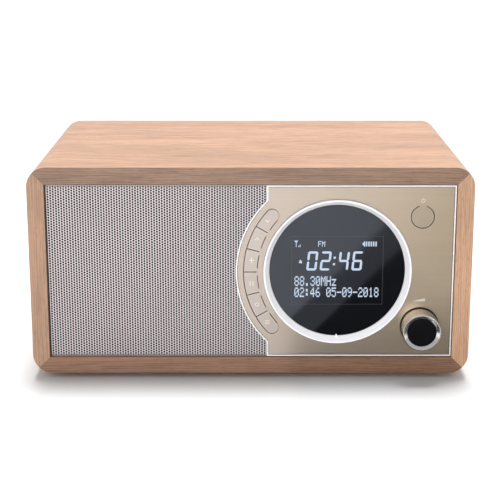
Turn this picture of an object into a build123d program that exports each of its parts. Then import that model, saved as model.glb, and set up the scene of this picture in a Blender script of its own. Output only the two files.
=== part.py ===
from build123d import *
import os
from math import acos, asin, atan2, cos, degrees, hypot, pi, radians, sin, sqrt, tan

# Tabletop radio: a mitred wooden cabinet with a perforated grille over one loudspeaker on the left, and a
# metal control panel on the right that carries a round display inside a rotating dial, six keys in an arc,
# a power key and a volume knob. The back has a panel with sockets and a folding telescopic aerial.
#
# Millimetres. +Z is up, the front faces -Y and +X is to the viewer's right. The origin is under the middle of
# the whole object, on the surface that it stands on. "Depth" always means the distance behind the cabinet's
# front edge, so that a negative depth stands out in front of it.

# ---------------------------------------------------------------- cabinet
CABINET_WIDTH = 270.0
CABINET_HEIGHT = 130.0
CABINET_DEPTH = 178.0
BOARD = 10.4  # thickness of the four boards
CORNER_RADIUS = 12.0
EDGE_ROUND = 0.5
BLOCK = 10.5  # side of the square corner blocks
BLOCK_LENGTH = 20.0

FOOT_PROUD = 3.0
FOOT_RADIUS = 8.0
FOOT_TAPER = 1.0
FOOT_INSET = 24.0  # foot centre to the cabinet's side, front or back

# ---------------------------------------------------------------- screws
SCREW_RADIUS = 1.5
SCREW_LENGTH = 11.0
SCREW_HEAD_RADIUS = 2.9
SCREW_HEAD = 1.8
SMALL_SCREW_RADIUS = 1.1
SMALL_SCREW_HEAD_RADIUS = 2.0
SMALL_SCREW_HEAD = 1.3
SCREW_CLEARANCE = 0.05

# ---------------------------------------------------------------- front panel stack, as depths
TRIM_FRONT = 0.55
FASCIA_FRONT = 1.0
FASCIA_THICKNESS = 1.0
GRILLE_THICKNESS = 0.6
CLOTH_THICKNESS = 0.3
BAFFLE_THICKNESS = 2.8
PANEL_GAP = 0.5  # dark line between the wood and what it frames
BAFFLE_GAP = 0.2
TRIM_WIDTH = 0.9
TRIM_CHAMFER = 0.25
TRIM_GROOVE = 0.35  # dark line between the trim and the fascia plate
GRILLE_TUCK = 4.0  # how far the grille runs under the fascia
GRILLE_CLEARANCE = 0.4

# ---------------------------------------------------------------- dial and display
DIAL_TO_EDGE = 71.6  # dial centre to the inside of the right board
FASCIA_SHOULDER = 43.1  # dial centre to the fascia's straight left edge
BULGE_RADIUS = 62.1  # the fascia's round left edge, about the dial centre
DIAL_RADIUS = 45.2
DIAL_PROUD = 2.0  # crest above the fascia
DIAL_CREST = 0.6
DIAL_CHAMFER = 0.3
DIAL_BORE = 41.6
DIAL_GAP = 0.4
FLANGE = 2.1  # how far the dial's flange reaches past its rim
FLANGE_THICKNESS = 1.3
FLANGE_CLEARANCE = 0.3
SLEEVE_RADIUS = 43.0
POINTER_HALF_WIDTH = 1.1
POINTER_REACH = 1.5
WINDOW_SINK = 2.6  # window surface behind the fascia surface
WINDOW_THICKNESS = 1.6
WINDOW_CLEARANCE = 0.25
BEARING_CLEARANCE = 0.15
LCD_WIDTH = 60.5
LCD_HEIGHT = 46.0
LCD_THICKNESS = 1.8
LCD_AIR = 0.4
BACKLIGHT_LIP = 4.0
BACKLIGHT_LIP_THICKNESS = 1.0
FRAME_PLATE = 2.0
FRAME_PLATE_RADIUS = 47.6
EAR_ANGLES = (60.0, 120.0, 240.0, 300.0)
EAR_REACH = 53.0
EAR_RADIUS = 3.0

# ---------------------------------------------------------------- dial gears
GEAR_MODULE = 1.0
DIAL_TEETH = 96
PINION_TEETH = 12
PRESSURE_ANGLE = 25.0
ADDENDUM = 0.8
DEDENDUM = 1.05
BACKLASH = 0.1  # taken off each tooth
GEAR_FACE = 3.0
PINION_SHAFT_RADIUS = 2.0
SHAFT_CLEARANCE = 0.08
DIAL_ENCODER_SIDE = 10.5
DIAL_ENCODER_HEIGHT = 3.8

# ---------------------------------------------------------------- arc keys
KEY_COUNT = 6
KEY_PITCH = 15.0  # degrees between separators
KEY_END_ANGLE = 41.5  # centre of the round end, from the horizontal
KEY_OUTER = 57.4
KEY_INNER = 49.0
SLOT = 0.5
HINGE_GAP = 0.12
BRIDGE_ANGLE = 2.6  # web left each side of a separator
KEY_THICKNESS = 1.4
KEY_POCKET = 1.3  # room behind the fascia for a pressed key
STEM_RADIUS_FROM_DIAL = 54.4
STEM_ALONG = 5.0
STEM_ACROSS = 2.0
KEY_TRAVEL_DEG = 2.5

# ---------------------------------------------------------------- power key and knob
CONTROL_TO_EDGE = 20.5  # centre to the inside of the right board
CONTROL_RISE = 34.5  # above and below the panel's middle
POWER_RADIUS = 7.0
POWER_BRIDGE_ANGLE = 27.0
KNOB_RADIUS = 11.4
KNOB_HOLE_GAP = 0.65
KNOB_PROUD = 15.0  # in front of the fascia
KNOB_TRAVEL = 0.5
KNOB_FOOT_GAP = 0.2
KNOB_WALL = 1.4
KNOB_WEB = 2.0
KNOB_HUB_RADIUS = 5.5
BEZEL_HEIGHT = 1.6
BEZEL_RIM = 0.5
INLAY_RADIUS = 9.0
INLAY_THICKNESS = 0.8
INLAY_SINK = 1.8
SHAFT_RADIUS = 3.0
BUSHING_RADIUS = 3.5
NUT_ACROSS_FLATS = 10.0
NUT_THICKNESS = 2.0
ENCODER_SIDE = 12.0
ENCODER_HEIGHT = 6.5
ENCODER_WALL = 1.5
PLUNGER_RADIUS = 4.0
PLUNGER_THICKNESS = 0.9

# ---------------------------------------------------------------- control board
BOARD_FRONT = 14.0  # depth
PCB = 1.6
CONTROL_BOARD_HALF_HEIGHT = 42.0
CONTROL_BOARD_EDGE = 5.6  # to the inside of the right board
BOARD_POST_RADIUS = 3.0
BOARD_POST_INSET = 4.0
SWITCH_SIDE = 6.0
SWITCH_HEIGHT = 3.4
SWITCH_PIN_RADIUS = 1.7
SWITCH_PIN = 0.6
SWITCH_GAP = 0.35

# ---------------------------------------------------------------- loudspeaker
DRIVER_INSET = 60.6  # centre to the inside of the left board
DRIVER_FLANGE = 78.0
DRIVER_CORNER = 12.0
DRIVER_SCREW = 33.0
APERTURE = 36.5
GASKET_WIDTH = 4.0
GASKET = 0.8
SHEET_STEEL = 1.2
BASKET_DEPTH = 24.5
BASKET_MOUTH = 36.6
BASKET_FOOT = 26.3
BASKET_WINDOW = 26.0
ROLL_RADIUS = 3.0
ROLL_CENTRE = 32.6
ROLL_THICKNESS = 0.5
CONE_THICKNESS = 0.8
CONE_DEPTH = 13.0
COIL_INNER = 12.45
COIL_OUTER = 12.95
COIL_LENGTH = 14.0
CONE_TRAVEL = 2.0
SPIDER_THICKNESS = 0.4
SPIDER_WAVE = 0.6
SPIDER_OUTER = 27.6
POLE_RADIUS = 12.0
FRONT_PLATE_BORE = 13.25
FRONT_PLATE_RADIUS = 25.0
FRONT_PLATE = 4.0
MAGNET_BORE = 16.0
MAGNET_RADIUS = 30.0
MAGNET = 10.0
YOKE_PLATE = 4.0

# ---------------------------------------------------------------- back
BACK_RECESS = 2.0
BACK_THICKNESS = 3.0
BACK_GAP = 0.4
MAIN_BOARD_WIDTH = 120.0
MAIN_BOARD_DEPTH = 68.0
MAIN_BOARD_STANDOFF = 5.0
STANDOFF_RADIUS = 3.0
JACK_BORE = 1.8
JACK_DEPTH = 14.0
JACK_COLLAR = 3.5
JACK_BODY = (11.0, 13.0, 11.0)
DC_BORE = 3.0
DC_DEPTH = 10.0
DC_PIN = 1.05
DC_PIN_LENGTH = 9.0
DC_COLLAR = 4.2
DC_BODY = (10.0, 14.0, 11.0)
COLLAR_CLEARANCE = 0.2
DC_X = -42.0
AUX_X = -22.0
PHONES_X = -4.0

# ---------------------------------------------------------------- aerial
AERIAL_TO_EDGE = 25.0  # swivel axis to the inside of the right board
AERIAL_DROP = 13.0  # swivel axis to the underside of the top board
AERIAL_SECTIONS = 4
AERIAL_RADIUS = 3.2
AERIAL_STEP = 0.6
AERIAL_CLEARANCE = 0.1
AERIAL_LENGTH = 176.0
AERIAL_SHOW = 4.0  # how much of each inner section shows when closed
AERIAL_KEEP = 16.0  # how much stays inside when drawn out
TIP_RADIUS = 3.2
TIP_LENGTH = 8.0
BASE_RADIUS = 8.5
BASE_THICKNESS = 2.5
SWIVEL_SHAFT = 4.0
SWIVEL_HEAD_RADIUS = 6.5
SWIVEL_HEAD = 1.5
EAR = 2.2
EYE_RADIUS = 3.2
EYE_HALF = 2.0
EYE_GAP = 0.15
EYE_LIFT = 4.2  # tilt axis above the swivel's head
HINGE_PIN = 0.95
PIN_CLEARANCE = 0.08

# ---------------------------------------------------------------- places worked out from the sizes above
INNER_WIDTH = CABINET_WIDTH - 2 * BOARD
INNER_HEIGHT = CABINET_HEIGHT - 2 * BOARD
MID_Z = FOOT_PROUD + CABINET_HEIGHT / 2
RIGHT_X = INNER_WIDTH / 2
FLOOR_Z = FOOT_PROUD + BOARD

GRILLE_FRONT = FASCIA_FRONT + FASCIA_THICKNESS
CLOTH_FRONT = GRILLE_FRONT + GRILLE_THICKNESS
BAFFLE_FRONT = CLOTH_FRONT + CLOTH_THICKNESS
BAFFLE_BACK = BAFFLE_FRONT + BAFFLE_THICKNESS
BACK_OUTER = CABINET_DEPTH - BACK_RECESS
BACK_INNER = BACK_OUTER - BACK_THICKNESS

EAR_RADIUS_AERIAL = EYE_RADIUS + 0.2
HEAD_TOP = BACK_OUTER + BASE_THICKNESS + 0.1 + SWIVEL_HEAD
TILT_DEPTH = HEAD_TOP + EYE_LIFT
KNOB_FACE = FASCIA_FRONT - KNOB_PROUD
FRONT_Y = -(TILT_DEPTH + EAR_RADIUS_AERIAL + KNOB_FACE) / 2

DIAL_X = RIGHT_X - DIAL_TO_EDGE
CONTROL_X = RIGHT_X - CONTROL_TO_EDGE
POWER_Z = MID_Z + CONTROL_RISE
KNOB_Z = MID_Z - CONTROL_RISE
DRIVER_X = DRIVER_INSET - RIGHT_X

DIAL_CREST_DEPTH = FASCIA_FRONT - DIAL_PROUD
FLANGE_FRONT = GRILLE_FRONT + FLANGE_CLEARANCE
FLANGE_BACK = FLANGE_FRONT + FLANGE_THICKNESS
FLANGE_RADIUS = DIAL_RADIUS + FLANGE
WINDOW_FRONT = FASCIA_FRONT + WINDOW_SINK
WINDOW_BACK = WINDOW_FRONT + WINDOW_THICKNESS
GEAR_FRONT = BAFFLE_BACK + 0.3
GEAR_BACK = GEAR_FRONT + GEAR_FACE
FRAME_FRONT = GEAR_BACK + FLANGE_CLEARANCE
FRAME_BACK = FRAME_FRONT + FRAME_PLATE
LCD_FRONT = WINDOW_BACK + LCD_AIR
LCD_BACK = LCD_FRONT + LCD_THICKNESS
PITCH_RADIUS = GEAR_MODULE * DIAL_TEETH / 2
PINION_RADIUS = GEAR_MODULE * PINION_TEETH / 2
PINION_X = DIAL_X + PITCH_RADIUS + PINION_RADIUS
BOARD_BACK = BOARD_FRONT + PCB
SWITCH_TOP = BOARD_FRONT - SWITCH_HEIGHT - SWITCH_PIN
STEM_END = SWITCH_TOP - SWITCH_GAP

FLANGE_PLANE = BAFFLE_BACK + GASKET
BASKET_TOP = FLANGE_PLANE + SHEET_STEEL
BASKET_BACK = FLANGE_PLANE + BASKET_DEPTH
ROLL_DEPTH = BASKET_TOP + 1.1
CONE_EDGE = ROLL_CENTRE - ROLL_RADIUS - ROLL_THICKNESS / 2 - 0.05
COIL_FRONT = ROLL_DEPTH + CONE_DEPTH
SPIDER_DEPTH = COIL_FRONT + 2.6
PLATE_BACK = BASKET_BACK + FRONT_PLATE
MAGNET_BACK = PLATE_BACK + MAGNET
YOKE_BACK = MAGNET_BACK + YOKE_PLATE

MAIN_BOARD_Z = FLOOR_Z + MAIN_BOARD_STANDOFF
MAIN_BOARD_TOP = MAIN_BOARD_Z + PCB
JACK_Z = MAIN_BOARD_TOP + JACK_BODY[2] / 2
AERIAL_X = RIGHT_X - AERIAL_TO_EDGE
AERIAL_Z = MID_Z + INNER_HEIGHT / 2 - AERIAL_DROP
KNOB_FOOT = BAFFLE_FRONT - GRILLE_THICKNESS - CLOTH_THICKNESS - KNOB_FOOT_GAP - KNOB_TRAVEL


# ---------------------------------------------------------------- shaping helpers
def at_depth(depth):
    """The Y of a distance behind the cabinet's front edge."""
    return FRONT_Y + depth


def slab(outline, front, back):
    """A plate with an outline in X and Z, from one depth to another."""
    return extrude(Plane.XZ.offset(-at_depth(back)) * outline, amount=back - front)


def turned(points, x, z):
    """A round piece about an axis along Y, from its outline's (radius, depth) points."""
    outline = Polyline(*[(radius, at_depth(depth)) for radius, depth in points], close=True)
    return Pos(x, 0, z) * revolve(make_face(outline), Axis.Y)


def disc(radius, front, back, x, z):
    """A plain round bar along Y."""
    return slab(Pos(x, z) * Circle(radius), front, back)


def block(x, z, width, height, front, back):
    """A box centred on x and z, from one depth to another."""
    return slab(Pos(x, z) * Rectangle(width, height), front, back)


def ring(outer, inner, front, back, x, z):
    """A flat ring along Y."""
    return slab(Pos(x, z) * (Circle(outer) - Circle(inner)), front, back)


def screw(x, z, head_depth, toward, radius, head_radius, head, length):
    """A screw along Y: its head's underside is at head_depth, and its shank runs toward +1 (back) or -1."""
    shank = sorted((head_depth, head_depth + toward * length))
    cap = sorted((head_depth, head_depth - toward * head))
    body = disc(radius, shank[0], shank[1], x, z) + disc(head_radius, cap[0], cap[1], x, z)
    slot_depth = sorted((head_depth - toward * head, head_depth - toward * head * 0.45))
    cross = Rectangle(head_radius * 1.1, head_radius * 0.24) + Rectangle(head_radius * 0.24, head_radius * 1.1)
    return body - slab(Pos(x, z) * cross, slot_depth[0], slot_depth[1])


def wood_screw(x, z, head_depth, toward):
    return screw(x, z, head_depth, toward, SCREW_RADIUS, SCREW_HEAD_RADIUS, SCREW_HEAD, SCREW_LENGTH)


def small_screw(x, z, head_depth, toward, length):
    return screw(x, z, head_depth, toward, SMALL_SCREW_RADIUS, SMALL_SCREW_HEAD_RADIUS, SMALL_SCREW_HEAD, length)


def holes(places, radius, front, back):
    """Round holes along Y at several (x, z) places, as one tool to subtract."""
    return Part() + [disc(radius, front, back, x, z) for x, z in places]


def corners(half_width, half_height, x=0.0, z=MID_Z):
    """The four corners of a rectangle about (x, z)."""
    return [(x + i * half_width, z + j * half_height) for i in (-1, 1) for j in (-1, 1)]


def arc_band(inner, outer, start, end):
    """The part of a ring between two angles, in degrees."""
    sweep_angle = end - start
    edges = [
        CenterArc((0, 0), outer, start, sweep_angle),
        CenterArc((0, 0), inner, start, sweep_angle),
    ]
    for angle in (start, end):
        a = radians(angle)
        edges.append(Line((inner * cos(a), inner * sin(a)), (outer * cos(a), outer * sin(a))))
    return make_face(edges)


def polar(radius, angle):
    a = radians(angle)
    return radius * cos(a), radius * sin(a)


# ---------------------------------------------------------------- cabinet
def rounded_tube():
    """The whole mitred sleeve of the cabinet, before it is split into boards."""
    outline = RectangleRounded(CABINET_WIDTH, CABINET_HEIGHT, CORNER_RADIUS)
    tube = slab(Pos(0, MID_Z) * (outline - Rectangle(INNER_WIDTH, INNER_HEIGHT)), 0, CABINET_DEPTH)
    ends = tube.faces().sort_by(Axis.Y)
    rims = [ends[0].outer_wire(), ends[-1].outer_wire()]
    return fillet([edge for rim in rims for edge in rim.edges()], EDGE_ROUND)


def mitre_wedge(half_inner_along, half_inner_across):
    """The wedge that a board lies in: its sides are the 45 degree mitres at two corners."""
    reach = BOARD * 3
    near, far = half_inner_across, half_inner_across + reach
    return make_face(
        Polyline(
            (-half_inner_along, near),
            (half_inner_along, near),
            (half_inner_along + reach, far),
            (-half_inner_along - reach, far),
            close=True,
        )
    )


def cabinet_boards():
    tube = rounded_tube()
    lying = mitre_wedge(INNER_WIDTH / 2, INNER_HEIGHT / 2)
    standing = mitre_wedge(INNER_HEIGHT / 2, INNER_WIDTH / 2)
    turns = {
        "cabinet_top": (lying, 0),
        "cabinet_left": (standing, 90),
        "cabinet_bottom": (lying, 180),
        "cabinet_right": (standing, 270),
    }
    boards = {}
    for name, (wedge, turn) in turns.items():
        keep = slab(Pos(0, MID_Z) * Rot(0, 0, turn) * wedge, -1, CABINET_DEPTH + 1)
        boards[name] = tube & keep
    boards["cabinet_bottom"] -= foot_screw_holes()
    return boards


def block_centres():
    return corners(INNER_WIDTH / 2 - BLOCK / 2, INNER_HEIGHT / 2 - BLOCK / 2)


def corner_blocks():
    """Glued blocks that the front baffle and the back panel screw into."""
    made = Part()
    for x, z in block_centres():
        for front, back in (
            (BAFFLE_BACK, BAFFLE_BACK + BLOCK_LENGTH),
            (BACK_INNER - BLOCK_LENGTH, BACK_INNER),
        ):
            made += block(x, z, BLOCK, BLOCK, front, back)
    pilot = SCREW_RADIUS + SCREW_CLEARANCE
    made -= holes(block_centres(), pilot, BAFFLE_BACK, BAFFLE_FRONT + SCREW_HEAD + SCREW_LENGTH + 1)
    return made - holes(block_centres(), pilot, BACK_OUTER - SCREW_LENGTH - 1, BACK_INNER)


def foot_places():
    half = CABINET_WIDTH / 2 - FOOT_INSET
    return [(x, y) for x in (-half, half) for y in (at_depth(FOOT_INSET), at_depth(CABINET_DEPTH - FOOT_INSET))]


def foot_screw_holes():
    hole = Cylinder(SCREW_RADIUS + SCREW_CLEARANCE, BOARD - 1, align=(Align.CENTER, Align.CENTER, Align.MIN))
    return Part() + [Pos(x, y, FOOT_PROUD) * hole for x, y in foot_places()]


def rubber_feet():
    """Four round feet, each with a recess for its screw's head."""
    outline = Polyline(
        (SCREW_RADIUS + SCREW_CLEARANCE, FOOT_PROUD),
        (FOOT_RADIUS, FOOT_PROUD),
        (FOOT_RADIUS - FOOT_TAPER, 0),
        (SCREW_HEAD_RADIUS + 0.3, 0),
        (SCREW_HEAD_RADIUS + 0.3, FOOT_PROUD - 0.8),
        (SCREW_RADIUS + SCREW_CLEARANCE, FOOT_PROUD - 0.8),
        close=True,
    )
    foot = revolve(Plane.XZ * make_face(outline), Axis.Z)
    return Part() + [Pos(x, y, 0) * foot for x, y in foot_places()]


def wood_screws():
    """The identical screws of the feet, the baffle and the back panel."""
    upright = Rot(90, 0, 0) * Pos(0, -FRONT_Y, 0) * wood_screw(0, 0, 0, 1)
    shank_length = BOARD - 2 + 0.8
    upright = upright & Pos(0, 0, shank_length / 2 - SCREW_HEAD / 2) * Box(
        SCREW_HEAD_RADIUS * 3, SCREW_HEAD_RADIUS * 3, shank_length + SCREW_HEAD
    )
    made = Part() + [Pos(x, y, FOOT_PROUD - 0.8) * upright for x, y in foot_places()]
    for x, z in block_centres():
        made += wood_screw(x, z, BAFFLE_FRONT + SCREW_HEAD, 1)
        made += wood_screw(x, z, BACK_OUTER, -1)
    return made


# ---------------------------------------------------------------- fascia, trim, grille and baffle
def panel_outline(inset):
    """The fascia's outline in X and Z: a block whose left side bulges out round the dial."""
    half_height = INNER_HEIGHT / 2 - PANEL_GAP - inset
    left = DIAL_X - FASCIA_SHOULDER + inset
    right = RIGHT_X - PANEL_GAP - inset
    straight = Pos((left + right) / 2, MID_Z) * Rectangle(right - left, 2 * half_height)
    bulge = Pos(DIAL_X, MID_Z) * Circle(BULGE_RADIUS - inset)
    strip = Pos((DIAL_X + right) / 2 - BULGE_RADIUS / 2, MID_Z) * Rectangle(
        right - DIAL_X + BULGE_RADIUS, 2 * half_height
    )
    return straight + (bulge & strip)


def grille_outline(grow):
    """The sheet's outline: it runs a little way under the fascia and is cut round the dial."""
    left = -(RIGHT_X - PANEL_GAP) - grow
    right = DIAL_X - FASCIA_SHOULDER + GRILLE_TUCK + grow
    height = INNER_HEIGHT - 2 * PANEL_GAP + 2 * grow
    sheet = Pos((left + right) / 2, MID_Z) * Rectangle(right - left, height)
    return sheet - Pos(DIAL_X, MID_Z) * Circle(BULGE_RADIUS - GRILLE_TUCK - grow)


def key_slot_outline(slot_cuts):
    """The opening for the arc keys, about the dial centre, with the keys' side at -X."""
    middle = (KEY_OUTER + KEY_INNER) / 2
    outer = KEY_OUTER + SLOT / 2
    inner = KEY_INNER + SLOT / 2 - HINGE_GAP
    end_radius = (outer - inner) / 2
    shape = arc_band(inner, outer, 180 - KEY_END_ANGLE, 180 + KEY_END_ANGLE)
    for side in (-1, 1):
        x, y = polar((outer + inner) / 2, 180 + side * KEY_END_ANGLE)
        shape += Pos(x, y) * Circle(end_radius)
    if slot_cuts:
        for start, end in key_spans():
            low = start + BRIDGE_ANGLE if abs(start) < 40 else start
            high = end - BRIDGE_ANGLE if abs(end) < 40 else end
            shape += arc_band(KEY_INNER - SLOT / 2, middle, 180 + low, 180 + high)
    return shape


def key_spans():
    """The (start, end) angles of each key from the horizontal through the dial; negative ones are above it."""
    half = KEY_COUNT // 2
    edges = [-KEY_END_ANGLE] + [KEY_PITCH * i for i in range(1 - half, half)] + [KEY_END_ANGLE]
    return list(zip(edges[:-1], edges[1:]))


def control_openings(for_fascia):
    """Everything that comes through the control panel, as one outline in X and Z."""
    shape = Pos(CONTROL_X, KNOB_Z) * Circle(KNOB_RADIUS + KNOB_HOLE_GAP)
    if for_fascia:
        shape += Pos(DIAL_X, MID_Z) * Circle(DIAL_RADIUS + DIAL_GAP)
        shape += Pos(DIAL_X, MID_Z) * key_slot_outline(True)
        bridge = Pos(0, POWER_RADIUS) * Rectangle(2 * POWER_RADIUS * sin(radians(POWER_BRIDGE_ANGLE / 2)), 1)
        power = Circle(POWER_RADIUS + SLOT / 2) - bridge
        power += Circle(POWER_RADIUS - SLOT / 2 + HINGE_GAP)
        shape += Pos(CONTROL_X, POWER_Z) * power
    return shape


def fascia_plate():
    outline = panel_outline(TRIM_WIDTH + TRIM_GROOVE) - control_openings(True)
    return slab(outline, FASCIA_FRONT, GRILLE_FRONT)


def fascia_trim():
    """The bright frame round the fascia, chamfered on its front edges."""
    outline = panel_outline(0) - panel_outline(TRIM_WIDTH)
    trim = slab(outline, TRIM_FRONT, GRILLE_FRONT)
    return chamfer(trim.faces().sort_by(Axis.Y)[0].edges(), TRIM_CHAMFER)


def speaker_grille():
    return slab(grille_outline(0), GRILLE_FRONT, CLOTH_FRONT)


def grille_cloth():
    return slab(grille_outline(-1.0), CLOTH_FRONT, BAFFLE_FRONT)


def board_post_places():
    x_middle = (DIAL_X - BULGE_RADIUS + RIGHT_X - CONTROL_BOARD_EDGE) / 2
    half = (RIGHT_X - CONTROL_BOARD_EDGE - DIAL_X + BULGE_RADIUS) / 2 - BOARD_POST_INSET
    return corners(half, CONTROL_BOARD_HALF_HEIGHT - BOARD_POST_INSET, x_middle)


def ear_places():
    return [(DIAL_X + polar(EAR_REACH, a)[0], MID_Z + polar(EAR_REACH, a)[1]) for a in EAR_ANGLES]


def driver_screw_places():
    return corners(DRIVER_SCREW, DRIVER_SCREW, DRIVER_X)


def front_baffle():
    """The moulded panel that carries the grille, the loudspeaker, the fascia and the controls."""
    whole = Pos(0, MID_Z) * Rectangle(INNER_WIDTH - 2 * BAFFLE_GAP, INNER_HEIGHT - 2 * BAFFLE_GAP)
    land = panel_outline(BAFFLE_GAP) - grille_outline(GRILLE_CLEARANCE)
    made = slab(whole, BAFFLE_FRONT, BAFFLE_BACK) + slab(land, GRILLE_FRONT, BAFFLE_FRONT)
    for x, z in board_post_places():
        made += disc(BOARD_POST_RADIUS, BAFFLE_BACK, BOARD_FRONT, x, z)
    for x, z in ear_places():
        made += disc(EAR_RADIUS, BAFFLE_BACK, FRAME_FRONT, x, z)
    made -= disc(APERTURE, GRILLE_FRONT, BAFFLE_BACK, DRIVER_X, MID_Z)
    made -= disc(FLANGE_RADIUS + DIAL_GAP, GRILLE_FRONT, BAFFLE_BACK, DIAL_X, MID_Z)
    middle = STEM_RADIUS_FROM_DIAL
    window = arc_band(middle - 3.2, middle + 3.2, 180 - KEY_END_ANGLE, 180 + KEY_END_ANGLE)
    made -= slab(Pos(DIAL_X, MID_Z) * window, GRILLE_FRONT, BAFFLE_BACK)
    pocket = Pos(DIAL_X, MID_Z) * arc_band(KEY_INNER - SLOT, KEY_OUTER + SLOT, 180 - 46.5, 180 + 46.5)
    made -= slab(pocket, GRILLE_FRONT, GRILLE_FRONT + KEY_POCKET)
    made -= disc(POWER_RADIUS - 1.0, GRILLE_FRONT, BAFFLE_BACK, CONTROL_X, POWER_Z)
    made -= disc(POWER_RADIUS + 0.3, GRILLE_FRONT, GRILLE_FRONT + KEY_POCKET, CONTROL_X, POWER_Z)
    made -= disc(KNOB_RADIUS + KNOB_HOLE_GAP, GRILLE_FRONT, BAFFLE_FRONT, CONTROL_X, KNOB_Z)
    made -= disc(BUSHING_RADIUS + SHAFT_CLEARANCE, BAFFLE_FRONT, BAFFLE_BACK, CONTROL_X, KNOB_Z)
    clear = SCREW_RADIUS + SCREW_CLEARANCE
    made -= holes(block_centres(), clear, BAFFLE_FRONT, BAFFLE_BACK)
    sunk = SCREW_HEAD_RADIUS + SCREW_CLEARANCE
    made -= holes(block_centres(), sunk, GRILLE_FRONT, BAFFLE_FRONT + SCREW_HEAD)
    thread = SMALL_SCREW_RADIUS + SCREW_CLEARANCE
    made -= holes(board_post_places(), thread, BOARD_FRONT - 7, BOARD_FRONT)
    made -= holes(ear_places(), thread, BAFFLE_BACK - 1.5, FRAME_FRONT)
    return made - holes(driver_screw_places(), thread, BAFFLE_BACK - 2.0, BAFFLE_BACK)


# ---------------------------------------------------------------- loudspeaker
def at_driver(points):
    return turned(points, DRIVER_X, MID_Z)


def roll_points(radius, steps=12):
    """A half circle towards the front, in (radius, depth)."""
    angles = [pi * i / steps for i in range(steps + 1)]
    return [(ROLL_CENTRE - radius * cos(a), ROLL_DEPTH - radius * sin(a)) for a in angles]


def driver_gasket():
    return ring(APERTURE + GASKET_WIDTH, APERTURE, BAFFLE_BACK, FLANGE_PLANE, DRIVER_X, MID_Z)


def driver_frame():
    """The pressed basket: a square flange, a conical wall with four windows, and the spider's ledge."""
    flange = RectangleRounded(DRIVER_FLANGE, DRIVER_FLANGE, DRIVER_CORNER) - Circle(BASKET_MOUTH)
    made = slab(Pos(DRIVER_X, MID_Z) * flange, FLANGE_PLANE, BASKET_TOP)
    slope = (BASKET_MOUTH - BASKET_FOOT) / (BASKET_BACK - 1 - BASKET_TOP)
    made += at_driver(
        [
            (BASKET_MOUTH, BASKET_TOP - 0.2),
            (BASKET_MOUTH + 1, BASKET_TOP - 0.2),
            (BASKET_FOOT + 1, BASKET_BACK),
            (COIL_OUTER + 1.2, BASKET_BACK),
            (COIL_OUTER + 1.2, BASKET_BACK - 1),
            (BASKET_FOOT, BASKET_BACK - 1),
        ]
    )
    gap = Rectangle(DRIVER_FLANGE, BASKET_WINDOW * 0.62)
    windows = Pos(DRIVER_X, MID_Z) * (Rot(0, 0, 45) * gap + Rot(0, 0, -45) * gap)
    made -= slab(windows, BASKET_TOP + 4, SPIDER_DEPTH - 1)
    ledge = SPIDER_DEPTH + SPIDER_THICKNESS / 2 + 0.05
    wall = BASKET_MOUTH - slope * (ledge - BASKET_TOP)
    made += at_driver(
        [(SPIDER_OUTER - 3.5, ledge), (wall + 0.6, ledge), (wall + 0.2, ledge + 1), (SPIDER_OUTER - 3.5, ledge + 1)]
    )
    return made - holes(driver_screw_places(), SMALL_SCREW_RADIUS + SCREW_CLEARANCE, FLANGE_PLANE, BASKET_TOP)


def driver_surround():
    outer = roll_points(ROLL_RADIUS + ROLL_THICKNESS / 2)
    inner = roll_points(ROLL_RADIUS - ROLL_THICKNESS / 2)
    return at_driver(outer + inner[::-1])


def driver_cone():
    """Paper cone, from the voice coil out to the surround."""
    return at_driver(
        [
            (COIL_OUTER, COIL_FRONT),
            (COIL_OUTER, COIL_FRONT - CONE_THICKNESS),
            (CONE_EDGE, ROLL_DEPTH - CONE_THICKNESS / 2),
            (CONE_EDGE, ROLL_DEPTH + CONE_THICKNESS / 2),
        ]
    )


def driver_dust_cap():
    """A shallow dome over the voice coil."""
    rise, reach = 3.0, COIL_OUTER + 0.4
    radius = (reach * reach + rise * rise) / (2 * rise)
    edge = COIL_FRONT - CONE_THICKNESS - 0.65
    centre = edge - rise + radius
    span = asin(reach / radius)

    def dome(r):
        return [(r * sin(span * i / 8), centre - r * cos(span * i / 8)) for i in range(9)]

    return at_driver(dome(radius) + dome(radius - 0.4)[::-1])


def driver_voice_coil():
    return ring(COIL_OUTER - 0.02, COIL_INNER, COIL_FRONT, COIL_FRONT + COIL_LENGTH, DRIVER_X, MID_Z)


def driver_spider():
    """The corrugated disc that centres the coil."""
    start, flat = COIL_OUTER + 0.05, SPIDER_OUTER - 3.5
    steps = 24
    radii = [start + (flat - start) * i / steps for i in range(steps + 1)]
    waves = [(r, SPIDER_DEPTH - SPIDER_WAVE * abs(sin(3 * pi * (r - start) / (flat - start)))) for r in radii]
    half = SPIDER_THICKNESS / 2
    front = [(r, d - half) for r, d in waves] + [(SPIDER_OUTER, SPIDER_DEPTH - half)]
    back = [(r, d + half) for r, d in waves] + [(SPIDER_OUTER, SPIDER_DEPTH + half)]
    return at_driver(front + back[::-1])


def driver_front_plate():
    return ring(FRONT_PLATE_RADIUS, FRONT_PLATE_BORE, BASKET_BACK, PLATE_BACK, DRIVER_X, MID_Z)


def driver_magnet():
    return ring(MAGNET_RADIUS, MAGNET_BORE, PLATE_BACK, MAGNET_BACK, DRIVER_X, MID_Z)


def driver_yoke():
    """Back plate and centre pole in one."""
    plate = disc(MAGNET_RADIUS - 1, MAGNET_BACK, YOKE_BACK, DRIVER_X, MID_Z)
    return plate + disc(POLE_RADIUS, BASKET_BACK, YOKE_BACK, DRIVER_X, MID_Z)


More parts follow.
